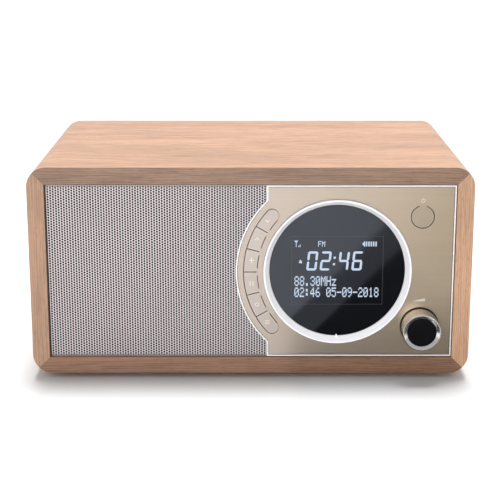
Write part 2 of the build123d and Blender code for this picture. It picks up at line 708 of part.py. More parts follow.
# ---------------------------------------------------------------- dial, gears and display
def dial_ring():
    """The bright turned ring with its pointer; a flange keeps it behind the fascia."""
    crest_inner = DIAL_RADIUS - DIAL_CHAMFER - DIAL_CREST
    made = turned(
        [
            (crest_inner, DIAL_CREST_DEPTH),
            (DIAL_RADIUS - DIAL_CHAMFER, DIAL_CREST_DEPTH),
            (DIAL_RADIUS, DIAL_CREST_DEPTH + DIAL_CHAMFER),
            (DIAL_RADIUS, FLANGE_FRONT),
            (FLANGE_RADIUS, FLANGE_FRONT),
            (FLANGE_RADIUS, FLANGE_BACK),
            (SLEEVE_RADIUS, FLANGE_BACK),
            (SLEEVE_RADIUS, GEAR_BACK),
            (DIAL_BORE, GEAR_BACK),
            (DIAL_BORE, WINDOW_FRONT - 0.2),
        ],
        DIAL_X,
        MID_Z,
    )
    tip = DIAL_BORE - POINTER_REACH
    base = DIAL_BORE + 0.9
    pointer = make_face(
        Polyline((-POINTER_HALF_WIDTH, -base), (POINTER_HALF_WIDTH, -base), (0, -tip), close=True)
    )
    return made + slab(Pos(DIAL_X, MID_Z) * pointer, WINDOW_FRONT - 1.0, WINDOW_FRONT - 0.3)


def gear_outline(teeth, phase):
    """An involute gear's outline as straight facets; phase turns it, in teeth."""
    pitch = GEAR_MODULE * teeth / 2
    base = pitch * cos(radians(PRESSURE_ANGLE))
    tip = pitch + ADDENDUM * GEAR_MODULE
    root = pitch - DEDENDUM * GEAR_MODULE

    def involute(radius):
        angle = acos(min(1.0, base / radius))
        return tan(angle) - angle

    half_at_pitch = pi / (2 * teeth) - BACKLASH / (2 * pitch)
    flank = [max(root, base) + (tip - max(root, base)) * i / 3 for i in range(4)]
    halves = [(r, half_at_pitch + involute(pitch) - involute(r)) for r in flank]
    if root < base:
        halves.insert(0, (root, halves[0][1]))
    points = []
    for tooth in range(teeth):
        middle = 2 * pi * (tooth + phase) / teeth
        rising = [(r, middle - half) for r, half in halves]
        falling = [(r, middle + half) for r, half in halves[::-1]]
        points += [(r * cos(a), r * sin(a)) for r, a in rising + falling]
    return make_face(Polyline(*points, close=True))


def dial_gear():
    """The moulded gear ring on the dial's sleeve, which drives the tuning encoder."""
    bore = SLEEVE_RADIUS + SCREW_CLEARANCE
    teeth = gear_outline(DIAL_TEETH, 0) - Circle(bore)
    collar = ring(PITCH_RADIUS - 1.5, bore, FLANGE_BACK, GEAR_FRONT, DIAL_X, MID_Z)
    return slab(Pos(DIAL_X, MID_Z) * teeth, GEAR_FRONT, GEAR_BACK) + collar


def dial_pinion():
    """The small gear and its shaft, which turn in the tuning encoder."""
    teeth = slab(Pos(PINION_X, MID_Z) * gear_outline(PINION_TEETH, 0.5), GEAR_FRONT, GEAR_BACK)
    floor = BOARD_FRONT - 1
    return teeth + disc(PINION_SHAFT_RADIUS, GEAR_BACK, floor - 0.2, PINION_X, MID_Z)


def dial_encoder():
    side, front = DIAL_ENCODER_SIDE, BOARD_FRONT - DIAL_ENCODER_HEIGHT
    body = block(PINION_X, MID_Z, side, side, front, BOARD_FRONT)
    return body - disc(PINION_SHAFT_RADIUS + SHAFT_CLEARANCE, front, BOARD_FRONT - 1, PINION_X, MID_Z)


def display_window():
    """The smoked round window."""
    radius = DIAL_BORE - WINDOW_CLEARANCE
    return disc(radius, WINDOW_FRONT, WINDOW_BACK, DIAL_X, MID_Z)


def lcd_panel():
    return block(DIAL_X, MID_Z, LCD_WIDTH, LCD_HEIGHT, LCD_FRONT, LCD_BACK)


def lcd_backlight():
    """The light box behind the display, with a lip that screws to the display frame."""
    box = block(DIAL_X, MID_Z, LCD_WIDTH, LCD_HEIGHT, LCD_BACK, FRAME_BACK)
    lip_width = LCD_WIDTH + 2 * BACKLIGHT_LIP
    lip = block(DIAL_X, MID_Z, lip_width, LCD_HEIGHT / 2, FRAME_BACK, FRAME_BACK + BACKLIGHT_LIP_THICKNESS)
    holes_at = backlight_screw_places()
    clear = SMALL_SCREW_RADIUS + SCREW_CLEARANCE
    return box + lip - holes(holes_at, clear, FRAME_BACK, FRAME_BACK + BACKLIGHT_LIP_THICKNESS)


def backlight_screw_places():
    offset = LCD_WIDTH / 2 + BACKLIGHT_LIP / 2 + 0.3
    return [(DIAL_X - offset, MID_Z), (DIAL_X + offset, MID_Z)]


def display_frame():
    """The fixed hub that the dial turns on; it holds the window and the display, and keeps the dial in."""
    hub = DIAL_BORE - BEARING_CLEARANCE
    made = disc(hub, WINDOW_BACK, FRAME_FRONT, DIAL_X, MID_Z)
    made += disc(FRAME_PLATE_RADIUS, FRAME_FRONT, FRAME_BACK, DIAL_X, MID_Z)
    for angle, (x, z) in zip(EAR_ANGLES, ear_places()):
        mid_x, mid_y = polar((EAR_REACH + FRAME_PLATE_RADIUS - 4) / 2, angle)
        arm = Rot(0, 0, angle) * Rectangle(EAR_REACH - FRAME_PLATE_RADIUS + 4, 2 * EAR_RADIUS)
        made += slab(Pos(DIAL_X + mid_x, MID_Z + mid_y) * arm, FRAME_FRONT, FRAME_BACK)
        made += disc(EAR_RADIUS, FRAME_FRONT, FRAME_BACK, x, z)
    clear = 0.15
    made -= block(DIAL_X, MID_Z, LCD_WIDTH + clear, LCD_HEIGHT + clear, WINDOW_BACK, FRAME_BACK)
    thread = SMALL_SCREW_RADIUS + SCREW_CLEARANCE
    made -= holes(backlight_screw_places(), thread, FRAME_FRONT, FRAME_BACK)
    return made - holes(ear_places(), thread, FRAME_FRONT, FRAME_BACK)


# ---------------------------------------------------------------- keys
def key_middle_angle(start, end):
    """The angle of a key's stem, a little inboard of the round end on the outer keys."""
    return (start + end) / 2


def arc_key(start, end):
    """One key of the arc: a cap hinged at its inner edge, with a stem that meets its switch."""
    outer, inner = KEY_OUTER - SLOT / 2, KEY_INNER + SLOT / 2
    cap = arc_band(inner, outer, 180 + start, 180 + end)
    for angle in (start, end):
        if abs(angle) == KEY_END_ANGLE:
            x, y = polar((outer + inner) / 2, 180 + angle)
            cap += Pos(x, y) * Circle((outer - inner) / 2)
        else:
            x, y = polar((outer + inner) / 2, 180 + angle)
            cap -= Pos(x, y) * Rot(0, 0, 180 + angle) * Rectangle(outer - inner + 4, SLOT)
    made = slab(Pos(DIAL_X, MID_Z) * cap, FASCIA_FRONT, FASCIA_FRONT + KEY_THICKNESS)
    middle = key_middle_angle(start, end)
    x, y = polar(STEM_RADIUS_FROM_DIAL, 180 + middle)
    stem = Pos(DIAL_X + x, MID_Z + y) * Rot(0, 0, 180 + middle) * Rectangle(STEM_ACROSS, STEM_ALONG)
    return made + slab(stem, FASCIA_FRONT + KEY_THICKNESS, STEM_END)


def power_key():
    """The round power key, hinged at its top."""
    radius = POWER_RADIUS - SLOT / 2
    made = disc(radius, FASCIA_FRONT, FASCIA_FRONT + KEY_THICKNESS, CONTROL_X, POWER_Z)
    return made + disc(STEM_ACROSS / 2, FASCIA_FRONT + KEY_THICKNESS, STEM_END, CONTROL_X, POWER_Z)


def switch_places():
    """Where each key's stem comes down, with the angle its switch is turned to."""
    places = []
    for start, end in key_spans():
        angle = 180 + key_middle_angle(start, end)
        x, y = polar(STEM_RADIUS_FROM_DIAL, angle)
        places.append((DIAL_X + x, MID_Z + y, angle))
    return places + [(CONTROL_X, POWER_Z, 0)]


def key_switches():
    """One tactile switch under each key."""
    made = Part()
    for x, z, angle in switch_places():
        case = Pos(x, z) * Rot(0, 0, angle) * Rectangle(SWITCH_SIDE, SWITCH_SIDE)
        body = slab(case, BOARD_FRONT - SWITCH_HEIGHT, BOARD_FRONT)
        made += body + disc(SWITCH_PIN_RADIUS, SWITCH_TOP, BOARD_FRONT - SWITCH_HEIGHT, x, z)
    return made


def control_board():
    """The circuit board behind the controls, with the ribbon's socket on its back."""
    left = DIAL_X - BULGE_RADIUS
    right = RIGHT_X - CONTROL_BOARD_EDGE
    x = (left + right) / 2
    made = block(x, MID_Z, right - left, 2 * CONTROL_BOARD_HALF_HEIGHT, BOARD_FRONT, BOARD_BACK)
    made += block(RIBBON_X, RIBBON_TOP_Z, 16, 6, BOARD_BACK, RIBBON_START)
    clear = SMALL_SCREW_RADIUS + SCREW_CLEARANCE
    return made - holes(board_post_places(), clear, BOARD_FRONT, BOARD_BACK)


def panel_screws():
    """The small screws of the display frame, the light box, the control board and the loudspeaker."""
    made = Part()
    for x, z in ear_places():
        made += small_screw(x, z, FRAME_BACK, -1, FRAME_BACK - BAFFLE_BACK + 1)
    for x, z in backlight_screw_places():
        made += small_screw(x, z, FRAME_BACK + BACKLIGHT_LIP_THICKNESS, -1, FRAME_PLATE + BACKLIGHT_LIP_THICKNESS)
    for x, z in board_post_places():
        made += small_screw(x, z, BOARD_BACK, -1, PCB + 6)
    for x, z in driver_screw_places():
        made += small_screw(x, z, BASKET_TOP, -1, BASKET_TOP - BAFFLE_BACK + 1.5)
    return made


# ---------------------------------------------------------------- volume knob and its encoder
def at_knob(points):
    return turned(points, CONTROL_X, KNOB_Z)


BEZEL_BACK = KNOB_FACE + BEZEL_HEIGHT
WEB_FRONT = KNOB_FACE + INLAY_SINK + INLAY_THICKNESS
SHAFT_FRONT = WEB_FRONT + KNOB_WEB
ENCODER_FRONT = BOARD_FRONT - ENCODER_HEIGHT
CAVITY_FRONT = ENCODER_FRONT + ENCODER_WALL
COLLAR_BACK = CAVITY_FRONT + 1.1


def knob_sleeve():
    """The knob's barrel, hollow from behind, with a hub that takes the shaft."""
    inner = KNOB_RADIUS - KNOB_WALL
    return at_knob(
        [
            (KNOB_RADIUS, BEZEL_BACK),
            (KNOB_RADIUS, KNOB_FOOT),
            (inner, KNOB_FOOT),
            (inner, SHAFT_FRONT),
            (KNOB_HUB_RADIUS, SHAFT_FRONT),
            (KNOB_HUB_RADIUS, FASCIA_FRONT - 1.5),
            (SHAFT_RADIUS + SCREW_CLEARANCE, FASCIA_FRONT - 1.5),
            (SHAFT_RADIUS + SCREW_CLEARANCE, SHAFT_FRONT),
            (0, SHAFT_FRONT),
            (0, WEB_FRONT),
            (INLAY_RADIUS, WEB_FRONT),
            (INLAY_RADIUS, BEZEL_BACK),
        ]
    )


def knob_bezel():
    """The bright front ring of the knob, dished towards the inlay."""
    return at_knob(
        [
            (KNOB_RADIUS - BEZEL_RIM, KNOB_FACE),
            (KNOB_RADIUS - 0.15, KNOB_FACE),
            (KNOB_RADIUS, KNOB_FACE + 0.15),
            (KNOB_RADIUS, BEZEL_BACK),
            (INLAY_RADIUS + 0.03, BEZEL_BACK),
        ]
    )


def knob_inlay():
    return disc(INLAY_RADIUS - 0.03, WEB_FRONT - INLAY_THICKNESS, WEB_FRONT, CONTROL_X, KNOB_Z)


def encoder_shaft():
    """The turning shaft, with the collar that keeps it in the encoder."""
    shaft = disc(SHAFT_RADIUS, SHAFT_FRONT, COLLAR_BACK, CONTROL_X, KNOB_Z)
    shaft -= block(CONTROL_X, KNOB_Z + SHAFT_RADIUS, 2 * SHAFT_RADIUS, 2.0, SHAFT_FRONT, FASCIA_FRONT - 1.5)
    return shaft + disc(PLUNGER_RADIUS, CAVITY_FRONT + 0.2, COLLAR_BACK, CONTROL_X, KNOB_Z)


def encoder_plunger():
    """The disc that the shaft pushes back when the knob is pressed; it doesn't turn."""
    front = COLLAR_BACK + 0.05
    return disc(PLUNGER_RADIUS, front, front + PLUNGER_THICKNESS, CONTROL_X, KNOB_Z)


def encoder_body():
    made = block(CONTROL_X, KNOB_Z, ENCODER_SIDE, ENCODER_SIDE, ENCODER_FRONT, BOARD_FRONT)
    made += disc(BUSHING_RADIUS, BAFFLE_FRONT - NUT_THICKNESS, ENCODER_FRONT, CONTROL_X, KNOB_Z)
    bore = SHAFT_RADIUS + SHAFT_CLEARANCE
    made -= disc(bore, BAFFLE_FRONT - NUT_THICKNESS, CAVITY_FRONT, CONTROL_X, KNOB_Z)
    return made - disc(PLUNGER_RADIUS + 0.3, CAVITY_FRONT, BOARD_FRONT - 1.2, CONTROL_X, KNOB_Z)


def encoder_nut():
    across_corners = NUT_ACROSS_FLATS / cos(radians(30))
    nut = RegularPolygon(across_corners / 2, 6) - Circle(BUSHING_RADIUS + SCREW_CLEARANCE)
    return slab(Pos(CONTROL_X, KNOB_Z) * nut, BAFFLE_FRONT - NUT_THICKNESS, BAFFLE_FRONT)


# ---------------------------------------------------------------- back panel, main board and wiring
JACK_BACK = BACK_INNER - 0.2
RIBBON_X = DIAL_X - 14
RIBBON_TOP_Z = MID_Z - 24
RIBBON_START = BOARD_BACK + 5.5
MAIN_BOARD_BACK = JACK_BACK
MAIN_BOARD_FRONT = MAIN_BOARD_BACK - MAIN_BOARD_DEPTH
MAIN_BOARD_X = -6.0
SOCKET_DEPTH = MAIN_BOARD_FRONT + 2


def main_board_middle():
    return at_depth((MAIN_BOARD_FRONT + MAIN_BOARD_BACK) / 2)


def standoff_places():
    half_x, half_y = MAIN_BOARD_WIDTH / 2 - 5, MAIN_BOARD_DEPTH / 2 - 5
    y = main_board_middle()
    return [(MAIN_BOARD_X + i * half_x, y + j * half_y) for i in (-1, 1) for j in (-1, 1)]


def upright_box(x, y, z, width, length, height):
    """A box that stands on z."""
    return Pos(x, y, z + height / 2) * Box(width, length, height)


def rear_panel():
    """The back cover, with holes for its screws, the sockets and the aerial."""
    outline = Pos(0, MID_Z) * Rectangle(INNER_WIDTH - 2 * BACK_GAP, INNER_HEIGHT - 2 * BACK_GAP)
    made = slab(outline, BACK_INNER, BACK_OUTER)
    made -= holes(block_centres(), SCREW_RADIUS + SCREW_CLEARANCE, BACK_INNER, BACK_OUTER)
    jack_hole = JACK_COLLAR + COLLAR_CLEARANCE
    made -= holes([(AUX_X, JACK_Z), (PHONES_X, JACK_Z)], jack_hole, BACK_INNER, BACK_OUTER)
    made -= disc(DC_COLLAR + COLLAR_CLEARANCE, BACK_INNER, BACK_OUTER, DC_X, JACK_Z)
    return made - disc(BASE_RADIUS - 2 + COLLAR_CLEARANCE, BACK_INNER, BACK_OUTER, AERIAL_X, AERIAL_Z)


def main_board():
    """The tuner and amplifier board, lying on four standoffs at the back of the cabinet."""
    y = main_board_middle()
    made = upright_box(MAIN_BOARD_X, y, MAIN_BOARD_Z, MAIN_BOARD_WIDTH, MAIN_BOARD_DEPTH, PCB)
    hole = Cylinder(SMALL_SCREW_RADIUS + SCREW_CLEARANCE, 3 * PCB)
    for x, hole_y in standoff_places():
        made -= Pos(x, hole_y, MAIN_BOARD_Z) * hole
    top = MAIN_BOARD_TOP
    made += upright_box(MAIN_BOARD_X + 34, y + 8, top, 34, 28, 5)
    made += upright_box(MAIN_BOARD_X + 4, y - 8, top, 22, 9, 18)
    for x in (-44, -30):
        made += Pos(MAIN_BOARD_X + x, y - 8, top + 7) * Cylinder(5, 14)
    made += upright_box(RIBBON_X, at_depth(SOCKET_DEPTH + 3), top, 16, 6, 6)
    return made + upright_box(LEAD_X, at_depth(SOCKET_DEPTH + 3), top, 8, 6, 6)


def board_standoffs():
    """Four pillars with the screws that hold the board down."""
    made = Part()
    for x, y in standoff_places():
        made += upright_box_cylinder(x, y, FLOOR_Z, STANDOFF_RADIUS, MAIN_BOARD_STANDOFF)
        made += upright_box_cylinder(x, y, MAIN_BOARD_Z, SMALL_SCREW_RADIUS, PCB)
        made += upright_box_cylinder(x, y, MAIN_BOARD_TOP, SMALL_SCREW_HEAD_RADIUS, SMALL_SCREW_HEAD)
    return made


def upright_box_cylinder(x, y, z, radius, height):
    """A round bar that stands on z."""
    return Pos(x, y, z + height / 2) * Cylinder(radius, height)


def audio_jacks():
    """The line input and the headphone output."""
    width, length, height = JACK_BODY
    made = Part()
    for x in (AUX_X, PHONES_X):
        jack = block(x, JACK_Z, width, height, JACK_BACK - length, JACK_BACK)
        jack += disc(JACK_COLLAR, JACK_BACK, BACK_OUTER, x, JACK_Z)
        made += jack - disc(JACK_BORE, BACK_OUTER - JACK_DEPTH, BACK_OUTER, x, JACK_Z)
    return made


def dc_jack():
    """The power inlet, with its centre pin."""
    width, length, height = DC_BODY
    made = block(DC_X, JACK_Z, width, height, JACK_BACK - length, JACK_BACK)
    made += disc(DC_COLLAR, JACK_BACK, BACK_OUTER, DC_X, JACK_Z)
    made -= disc(DC_BORE, BACK_OUTER - DC_DEPTH, BACK_OUTER, DC_X, JACK_Z)
    pin_back = BACK_OUTER - DC_DEPTH
    return made + disc(DC_PIN, pin_back, pin_back + DC_PIN_LENGTH, DC_X, JACK_Z)


LEAD_X = MAIN_BOARD_X - 20
LEAD_RADIUS = 0.7
LEAD_BEND = 9.0
TERMINAL_OFFSET = 35.0  # from the loudspeaker's centre to its two terminals
TERMINAL_DROP = 20.0


def wiring_loom():
    """The ribbon between the two boards, and the two loudspeaker leads."""
    start, end = at_depth(RIBBON_START), at_depth(SOCKET_DEPTH)
    plug_z = MAIN_BOARD_TOP + 3
    run = end - start
    route = FilletPolyline(
        (start, RIBBON_TOP_Z),
        (start + 0.3 * run, RIBBON_TOP_Z),
        (start + 0.7 * run, plug_z),
        (end, plug_z),
        radius=LEAD_BEND,
    )
    strip = trace(route, 0.8)
    made = Plane.YZ.offset(RIBBON_X - 6) * strip
    made = extrude(made, amount=12)
    for side in (-1, 1):
        x = LEAD_X + side * 2
        terminal_x = DRIVER_X + TERMINAL_OFFSET + side * 2
        path = FilletPolyline(
            (terminal_x, at_depth(BASKET_TOP), MID_Z - TERMINAL_DROP),
            (terminal_x, at_depth(BASKET_BACK), MID_Z - TERMINAL_DROP),
            (x, at_depth(SOCKET_DEPTH - 24), plug_z),
            (x, at_depth(SOCKET_DEPTH), plug_z),
            radius=LEAD_BEND,
        )
        made += sweep(Plane(path @ 0, z_dir=path % 0) * Circle(LEAD_RADIUS), path)
    return made


# ---------------------------------------------------------------- telescopic aerial
def aerial_base():
    """The fixed socket in the back panel that the aerial swivels in."""
    bore = SWIVEL_SHAFT + PIN_CLEARANCE
    flange = ring(BASE_RADIUS, bore, BACK_OUTER, BACK_OUTER + BASE_THICKNESS, AERIAL_X, AERIAL_Z)
    return flange + ring(BASE_RADIUS - 2, bore, BACK_INNER - 4, BACK_OUTER, AERIAL_X, AERIAL_Z)


def along_z(radius, length, x, y, z):
    return Pos(x, y, z) * Cylinder(radius, length)


def aerial_swivel():
    """The turning fork and its hinge pin."""
    y = at_depth(TILT_DEPTH)
    head_front = BACK_OUTER + BASE_THICKNESS + 0.1
    made = disc(SWIVEL_SHAFT, BACK_INNER - 3, head_front, AERIAL_X, AERIAL_Z)
    made += disc(SWIVEL_HEAD_RADIUS, head_front, HEAD_TOP, AERIAL_X, AERIAL_Z)
    ear_middle = EYE_HALF + EYE_GAP + EAR / 2
    for side in (-1, 1):
        z = AERIAL_Z + side * ear_middle
        made += along_z(EAR_RADIUS_AERIAL, EAR, AERIAL_X, y, z)
        made += block(AERIAL_X, z, 2 * EAR_RADIUS_AERIAL, EAR, HEAD_TOP - 0.5, TILT_DEPTH)
    return made + along_z(HINGE_PIN, 2 * ear_middle, AERIAL_X, y, AERIAL_Z)


def section_radius(index):
    return AERIAL_RADIUS - AERIAL_STEP * index


def aerial_section(index):
    """One tube of the aerial, counted from the outside; the first has the hinge eye, the last the tip."""
    radius = section_radius(index)
    start = EYE_RADIUS + 1.0 + (2.0 if index == 0 else 2.5 + 0.4 * index)
    end = EYE_RADIUS + 1.0 + AERIAL_LENGTH + AERIAL_SHOW * index
    y = at_depth(TILT_DEPTH)

    def rod(r, near, far):
        return Pos(AERIAL_X - (near + far) / 2, y, AERIAL_Z) * Rot(0, 90, 0) * Cylinder(r, far - near)

    made = rod(radius, start, end)
    if index < AERIAL_SECTIONS - 1:
        made -= rod(section_radius(index + 1) + AERIAL_CLEARANCE, start, end)
    else:
        made += rod(TIP_RADIUS, end, end + TIP_LENGTH)
    if index == 0:
        made += rod(radius, start - 2.0, start)
        made += along_z(EYE_RADIUS, 2 * EYE_HALF, AERIAL_X, y, AERIAL_Z)
        neck = EYE_RADIUS + 1.0
        made += Pos(AERIAL_X - neck / 2, y, AERIAL_Z) * Box(neck, 2 * EYE_RADIUS - 0.6, 2 * EYE_HALF)
        made -= along_z(HINGE_PIN + PIN_CLEARANCE, 4 * EYE_HALF, AERIAL_X, y, AERIAL_Z)
    return made


# ---------------------------------------------------------------- everything, by name
def assembly():
    """Every separate piece of the radio, by name."""
    pieces = dict(cabinet_boards())
    pieces.update(
        corner_blocks=corner_blocks(),
        rubber_feet=rubber_feet(),
        wood_screws=wood_screws(),
        front_baffle=front_baffle(),
        speaker_grille=speaker_grille(),
        grille_cloth=grille_cloth(),
        fascia_plate=fascia_plate(),
        fascia_trim=fascia_trim(),
        driver_gasket=driver_gasket(),
        driver_frame=driver_frame(),
        driver_surround=driver_surround(),
        driver_cone=driver_cone(),
        driver_dust_cap=driver_dust_cap(),
        driver_voice_coil=driver_voice_coil(),
        driver_spider=driver_spider(),
        driver_front_plate=driver_front_plate(),
        driver_magnet=driver_magnet(),
        driver_yoke=driver_yoke(),
        dial_ring=dial_ring(),
        dial_gear=dial_gear(),
        dial_pinion=dial_pinion(),
        dial_encoder=dial_encoder(),
        display_window=display_window(),
        display_frame=display_frame(),
        lcd_panel=lcd_panel(),
        lcd_backlight=lcd_backlight(),
        power_key=power_key(),
        key_switches=key_switches(),
        control_board=control_board(),
        panel_screws=panel_screws(),
        knob_sleeve=knob_sleeve(),
        knob_bezel=knob_bezel(),
        knob_inlay=knob_inlay(),
        encoder_shaft=encoder_shaft(),
        encoder_plunger=encoder_plunger(),
        encoder_body=encoder_body(),
        encoder_nut=encoder_nut(),
        rear_panel=rear_panel(),
        main_board=main_board(),
        board_standoffs=board_standoffs(),
        audio_jacks=audio_jacks(),
        dc_jack=dc_jack(),
        wiring_loom=wiring_loom(),
        aerial_base=aerial_base(),
        aerial_swivel=aerial_swivel(),
    )
    for number, (start, end) in enumerate(reversed(key_spans()), 1):
        pieces[f"arc_key_{number}"] = arc_key(start, end)
    for index in range(AERIAL_SECTIONS):
        pieces[f"aerial_section_{index + 1}"] = aerial_section(index)
    return pieces


def main():
    os.makedirs("parts", exist_ok=True)
    for name, shape in assembly().items():
        export_step(shape, f"parts/{name}.step")


if __name__ == "__main__":
    main()
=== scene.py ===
from functools import partial
from math import cos, pi, radians, sin, tan

import bmesh
import bpy
from bpy.props import FloatProperty, FloatVectorProperty, IntProperty, PointerProperty
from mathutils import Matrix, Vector


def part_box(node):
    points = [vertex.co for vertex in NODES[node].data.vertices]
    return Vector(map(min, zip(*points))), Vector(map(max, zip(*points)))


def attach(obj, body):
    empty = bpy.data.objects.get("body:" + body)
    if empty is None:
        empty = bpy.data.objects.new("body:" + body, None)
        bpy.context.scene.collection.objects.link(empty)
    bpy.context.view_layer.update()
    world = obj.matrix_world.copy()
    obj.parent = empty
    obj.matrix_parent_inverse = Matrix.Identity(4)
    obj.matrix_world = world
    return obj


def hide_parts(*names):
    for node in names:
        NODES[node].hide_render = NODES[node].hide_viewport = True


bl_info = {
    "name": "Tabletop radio finish",
    "version": (1, 0, 0),
    "blender": (4, 5, 0),
    "location": "View3D > Sidebar > Radio",
    "description": "Finishes a wooden tabletop radio, from its timber to its aerial, and sets its studio",
    "category": "Object",
}

MM = 0.001
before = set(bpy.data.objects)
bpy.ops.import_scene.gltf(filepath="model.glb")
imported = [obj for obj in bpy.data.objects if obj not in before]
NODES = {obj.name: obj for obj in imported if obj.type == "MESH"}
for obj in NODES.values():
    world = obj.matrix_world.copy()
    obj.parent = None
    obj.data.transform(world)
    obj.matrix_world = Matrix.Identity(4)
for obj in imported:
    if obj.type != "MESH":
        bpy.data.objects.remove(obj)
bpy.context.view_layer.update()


# ---------------------------------------------------------------- places, read from the frame
def middle(node):
    low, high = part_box(node)
    return (low + high) / 2


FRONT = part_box("cabinet_top")[0].y
DIAL = middle("display_window")
KNOB = middle("knob_inlay")
POWER = middle("power_key")
CONE = middle("driver_cone")
KEYS = [f"arc_key_{i}" for i in range(1, 7)]
TUBES = [f"aerial_section_{i}" for i in range(1, 5)]
PRINT = (0.985, 1.04)  # front and back of the printed symbols, in millimetres behind the cabinet's front edge
LIT = (3.56, 3.62)  # the same for the lit characters, just proud of the window


def depth(value):
    """The Y of a distance in millimetres behind the cabinet's front edge."""
    return FRONT + value * MM


# ---------------------------------------------------------------- settings
def colour(name, description, default):
    return FloatVectorProperty(
        name=name, description=description, default=default, subtype="COLOR", min=0, max=1)


def length(name, description, default, least=0.0):
    return FloatProperty(name=name, description=description, default=default, subtype="DISTANCE", min=least)


def share(name, description, default):
    return FloatProperty(name=name, description=description, default=default, min=0, max=1)


def strength(name, description, default):
    return FloatProperty(name=name, description=description, default=default, min=0)


class RadioTimber(bpy.types.PropertyGroup):
    # One oak in three colour pairs: paler on the standing boards, darker on the top and darker and deeper
    # still on the base, set to how the light falls on each: painted light and shade.
    lying_light: colour("Light, top", "Pale part of the grain on the top", (0.65, 0.37, 0.228))
    lying_dark: colour("Dark, top", "Dark part of the grain on the top", (0.31, 0.165, 0.095))
    base_light: colour("Light, base", "Pale part of the grain on the base", (0.59, 0.285, 0.15))
    base_dark: colour("Dark, base", "Dark part of the grain on the base", (0.30, 0.15, 0.08))
    standing_light: colour(
        "Light, sides", "Pale part of the grain on the standing boards", (0.79, 0.45, 0.26))
    standing_dark: colour(
        "Dark, sides", "Dark part of the grain on the standing boards", (0.44, 0.25, 0.15))
    figure: share("Figure", "Strength of the wide grain figure", 0.38)


class RadioGrille(bpy.types.PropertyGroup):
    pitch: length("Pitch", "Distance between rows of holes", 1.6 * MM, 0.5 * MM)
    hole: length("Hole", "Hole diameter, across its corners", 1.5 * MM, 0.2 * MM)
    margin: length("Margin", "Plain edge round the holes", 0.15 * MM)


class RadioDial(bpy.types.PropertyGroup):
    ridges: IntProperty(name="Ridges", description="Grip ridges round the dial", default=240, min=24, max=720)
    ridge_height: length("Ridge height", "How far a ridge stands out", 0.22 * MM)


class RadioDisplay(bpy.types.PropertyGroup):
    glow: colour("Glow", "Colour of the lit digits", (0.56, 0.68, 0.86))
    strength: strength("Strength", "Brightness of the lit digits", 0.85)
    digit_height: length("Digit height", "Height of the large digits", 12.1 * MM, 1 * MM)


class RadioStage(bpy.types.PropertyGroup):
    distance: length("Camera distance", "Camera to the cabinet's front", 0.7893, 0.1)
    height: length("Camera height", "Camera above the floor", 0.2881)
    pitch: FloatProperty(
        name="Camera pitch", description="How far the camera looks down", default=radians(14.624),
        subtype="ANGLE")
    lens: FloatProperty(name="Lens", description="Focal length in millimetres", default=96.64, min=10)
    sun: strength("Sun", "Strength of the soft overhead light", 4.1)
    fill: strength("Fill", "Strength of the low front light", 1.2)
    ring_light: strength("Ring light", "Strength of the light kept for the dial ring", 1.6)
    sky: strength("Sky", "Strength of the surroundings", 0.50)


# ---------------------------------------------------------------- node trees
def add(tree, kind, inputs=None, **settings):
    """A node with its settings. An input is a value, a socket, or a node, whose first output is meant."""
    node = tree.nodes.new(kind)
    for key, value in settings.items():
        setattr(node, key, value)
    for key, value in (inputs or {}).items():
        if isinstance(value, bpy.types.Node):
            value = value.outputs[0]
        if isinstance(value, bpy.types.NodeSocket):
            tree.links.new(value, node.inputs[key])
        else:
            node.inputs[key].default_value = value
    return node


def sum_of(tree, operation, first, second=0.0, third=0.0, clamp=False):
    """The result of one Math node."""
    made = add(tree, "ShaderNodeMath", {0: first, 1: second, 2: third}, operation=operation, use_clamp=clamp)
    return made.outputs[0]


def vector_of(tree, x, y, z):
    """One vector from three numbers."""
    return add(tree, "ShaderNodeCombineXYZ", {0: x, 1: y, 2: z}).outputs[0]


def parts_of(tree, vector):
    """The three numbers of a vector."""
    return add(tree, "ShaderNodeSeparateXYZ", {0: vector}).outputs


def stretch(tree, vector, scale):
    """A vector multiplied along each axis."""
    made = add(tree, "ShaderNodeVectorMath", {0: vector, 1: scale}, operation="MULTIPLY")
    return made.outputs[0]


def cloud(tree, vector, detail=2.0, roughness=0.5):
    """Noise between 0 and 1 at the vector's own scale."""
    made = add(
        tree, "ShaderNodeTexNoise",
        {"Vector": vector, "Scale": 1.0, "Detail": detail, "Roughness": roughness})
    return made.outputs["Fac"]


def shaded(tree, colour, bright):
    """A colour multiplied by one brightness."""
    return stretch(tree, colour, vector_of(tree, bright, bright, bright))


def blend_colours(tree, share, first, second, kind="MIX"):
    """The result of one Mix node on colours."""
    made = add(tree, "ShaderNodeMix", data_type="RGBA", blend_type=kind)
    for socket, value in ((made.inputs["Factor"], share), (made.inputs[6], first), (made.inputs[7], second)):
        if isinstance(value, bpy.types.NodeSocket):
            tree.links.new(value, socket)
        else:
            socket.default_value = value
    return made.outputs[2]


def ramp(tree, value, low, high, to_low=0.0, to_high=1.0):
    """A value moved from one range to another, and kept inside it."""
    made = add(
        tree, "ShaderNodeMapRange",
        {"Value": value, "From Min": low, "From Max": high, "To Min": to_low, "To Max": to_high})
    return made.outputs["Result"]


def start_group(name, inputs):
    """An empty shader group with its sockets, and its two end nodes."""
    group = bpy.data.node_groups.new(name, "ShaderNodeTree")
    group.interface.new_socket("Vector", in_out="INPUT", socket_type="NodeSocketVector")
    for label, value in inputs.items():
        kind = "NodeSocketColor" if isinstance(value, tuple) else "NodeSocketFloat"
        group.interface.new_socket(label, in_out="INPUT", socket_type=kind).default_value = value
    group.interface.new_socket("Color", in_out="OUTPUT", socket_type="NodeSocketColor")
    for label in ("Roughness", "Height"):
        group.interface.new_socket(label, in_out="OUTPUT", socket_type="NodeSocketFloat")
    return group, group.nodes.new("NodeGroupInput").outputs, group.nodes.new("NodeGroupOutput").inputs


